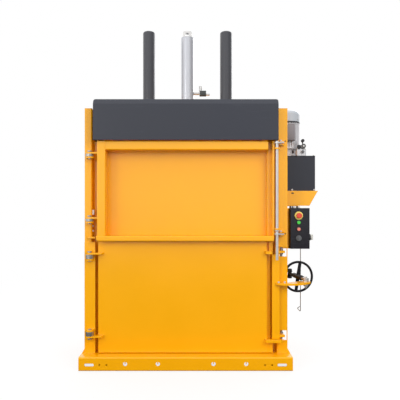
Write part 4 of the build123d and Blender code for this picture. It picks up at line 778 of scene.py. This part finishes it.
red = coat("Red stop button", (0.68, 0.065, 0.030), (0.88, 0.22, 0.14), 0.25, tone=0.03, scuffs=0.1)
coral = coat("Red push-button", (0.80, 0.24, 0.17), (0.94, 0.42, 0.34), 0.30, tone=0.02, scuffs=0.1)
green = coat("Green push-button", (0.07, 0.62, 0.07), (0.3, 0.86, 0.3), 0.30, tone=0.02, scuffs=0.1)
yellow = coat("Yellow collar", (0.80, 0.65, 0.15), (0.96, 0.86, 0.40), 0.35, tone=0.02, scuffs=0.1)
disc_grey = coat("Grey selector", (0.115, 0.12, 0.125), (0.20, 0.20, 0.21), 0.50, bump=0.06, scuffs=0.1)
dress(red, "stop_button")
dress(coral, "red_button")
dress(green, "green_button")
dress(yellow, "stop_collar")
dress(black, "control_bezels")
dress(disc_grey, "selector")

# The isolator on the box's side: a black base and an off-white turning knob with near-black edges, which are
# painted shade.

dress(black, "isolator_base")
# Painted shade: the knob's edge colour is near black, so its rims are outlined dark.
knob_edge_shade_plastic = coat("White plastic with painted edge shade", (0.68, 0.66, 0.60), (0.030, 0.030, 0.032), 0.40, bump=0.05,
                    grain=1500.0, radius=0.0035, edge_wear_and_shading=1.0, scuffs=0.0)
dress(knob_edge_shade_plastic, "isolator_knob")

# The strap hook: a thin bright steel rod that hangs on its peg behind the control box. An operator
# threads the bale straps with the bend at its foot.

wire = coat("Bright wire", (0.46, 0.48, 0.48), (0.60, 0.60, 0.60), 0.30, metal=0.8, tone=0.06)
dress(wire, "strap_hook")

# Floor, light and camera. A pale studio floor, broad soft light from the front and above, and the
# camera at the photograph's standpoint: a little right of the middle, chest high.


def white_to_camera(tree, surface, share):
    """Mixes a plain surface with white for the camera, all white far away; the object sees it dark."""
    path = add(tree, "ShaderNodeLightPath")
    spot = add(tree, "ShaderNodeTexCoord").outputs["Object"]
    away = add(tree, "ShaderNodeVectorMath", {"operation": "LENGTH"}, i0=spot)
    fade = ramp(tree, away.outputs["Value"], 1.5, 4.5, share, 1.0)
    glow = add(tree, "ShaderNodeEmission", None, Color=(1, 1, 1, 1), Strength=1.0)
    lit = add(tree, "ShaderNodeMixShader", None, i0=fade, i1=surface, i2=glow.outputs[0])
    dim = add(tree, "ShaderNodeBsdfDiffuse", None, Color=(0.20, 0.20, 0.20, 1))
    black_out = add(tree, "ShaderNodeEmission", None, Color=(0.01, 0.01, 0.01, 1), Strength=1.0)
    other = add(tree, "ShaderNodeMixShader", None, i0=path.outputs["Is Glossy Ray"], i1=dim.outputs[0],
                i2=black_out.outputs[0])
    return add(tree, "ShaderNodeMixShader", None, i0=path.outputs["Is Camera Ray"], i1=other.outputs[0],
               i2=lit.outputs[0])


reach, level = 14.0, -0.001
floor_mesh = bpy.data.meshes.new("studio_floor")
corners = [(-reach, -reach, level), (reach, -reach, level), (reach, reach, level), (-reach, reach, level)]
floor_mesh.from_pydata(corners, [], [(0, 1, 2, 3)])
floor = bpy.data.objects.new("studio_floor", floor_mesh)
bpy.context.scene.collection.objects.link(floor)
pale = bpy.data.materials.new("Pale floor")
pale.use_nodes = True
shader = pale.node_tree.nodes["Principled BSDF"]
shader.inputs["Base Color"].default_value = (0.86, 0.86, 0.86, 1)
shader.inputs["Roughness"].default_value = 0.9
mix = white_to_camera(pale.node_tree, shader.outputs[0], 0.8)
pale.node_tree.links.new(mix.outputs[0], pale.node_tree.nodes["Material Output"].inputs[0])
floor_mesh.materials.append(pale)

world = bpy.data.worlds.new("studio")
world.use_nodes = True
bpy.context.scene.world = world
air = world.node_tree
path = add(air, "ShaderNodeLightPath")
towards = add(air, "ShaderNodeSeparateXYZ", None, i0=add(air, "ShaderNodeTexCoord").outputs["Generated"])
right = ramp(air, towards.outputs[0], 0.35, 0.80, 0.0, 1.0)
front = ramp(air, towards.outputs[1], 0.10, 0.65, 1.0, 0.0)
shaded = add(air, "ShaderNodeMath", {"operation": "MULTIPLY"}, i0=right, i1=front)
dimmer = ramp(air, shaded.outputs[0], 0.0, 1.0, 1.0, 0.40)
soft = add(air, "ShaderNodeVectorMath", {"operation": "SCALE"}, i0=(1.24, 1.24, 1.25), Scale=dimmer)
mirrored = add(air, "ShaderNodeVectorMath", {"operation": "SCALE"}, i0=(1.25, 1.25, 1.27), Scale=dimmer)
glossy = add(air, "ShaderNodeMix", {"data_type": "RGBA"})
air.links.new(path.outputs["Is Glossy Ray"], glossy.inputs[0])
air.links.new(soft.outputs[0], glossy.inputs[6])
air.links.new(mirrored.outputs[0], glossy.inputs[7])
seen = add(air, "ShaderNodeMix", {"data_type": "RGBA"})
air.links.new(path.outputs["Is Camera Ray"], seen.inputs[0])
air.links.new(glossy.outputs[2], seen.inputs[6])
seen.inputs[7].default_value = (1, 1, 1, 1)
air.links.new(seen.outputs[2], air.nodes["Background"].inputs[0])


def lamp(name, spot, target, size, watts, mirrored=True):
    """A rectangular soft light aimed at a point."""
    data = bpy.data.lights.new(name, "AREA")
    data.shape = "RECTANGLE"
    data.size, data.size_y = size
    data.energy = watts
    light = bpy.data.objects.new(name, data)
    light.location = spot
    light.rotation_euler = (Vector(target) - Vector(spot)).to_track_quat("-Z", "Y").to_euler()
    light.visible_glossy = mirrored
    bpy.context.scene.collection.objects.link(light)


lamp("key", (3.2, -4.4, 3.0), (0.0, 0, 1.3), (2.2, 2.0), 108, mirrored=False)
lamp("fill", (-3.6, -4.4, 1.6), (0.1, 0, 1.0), (3.0, 2.5), 20, mirrored=False)
lamp("strip", (-3.4, -4.6, 2.2), (0.0, 0, 1.5), (0.7, 2.6), 32)
lamp("rim", (2.0, 3.5, 3.6), (0, 0, 1.4), (3.0, 2.0), 50)

camera_data = bpy.data.cameras.new("camera")
camera_data.sensor_width = 36
camera_data.lens = 43.71
camera_data.shift_y = 0.025
camera = bpy.data.objects.new("camera", camera_data)
camera.location = (0.1004, -3.915, 1.129)
camera.rotation_euler = (math.radians(90), 0, 0)
bpy.context.scene.collection.objects.link(camera)
bpy.context.scene.camera = camera
bpy.context.scene.view_settings.view_transform = "Standard"
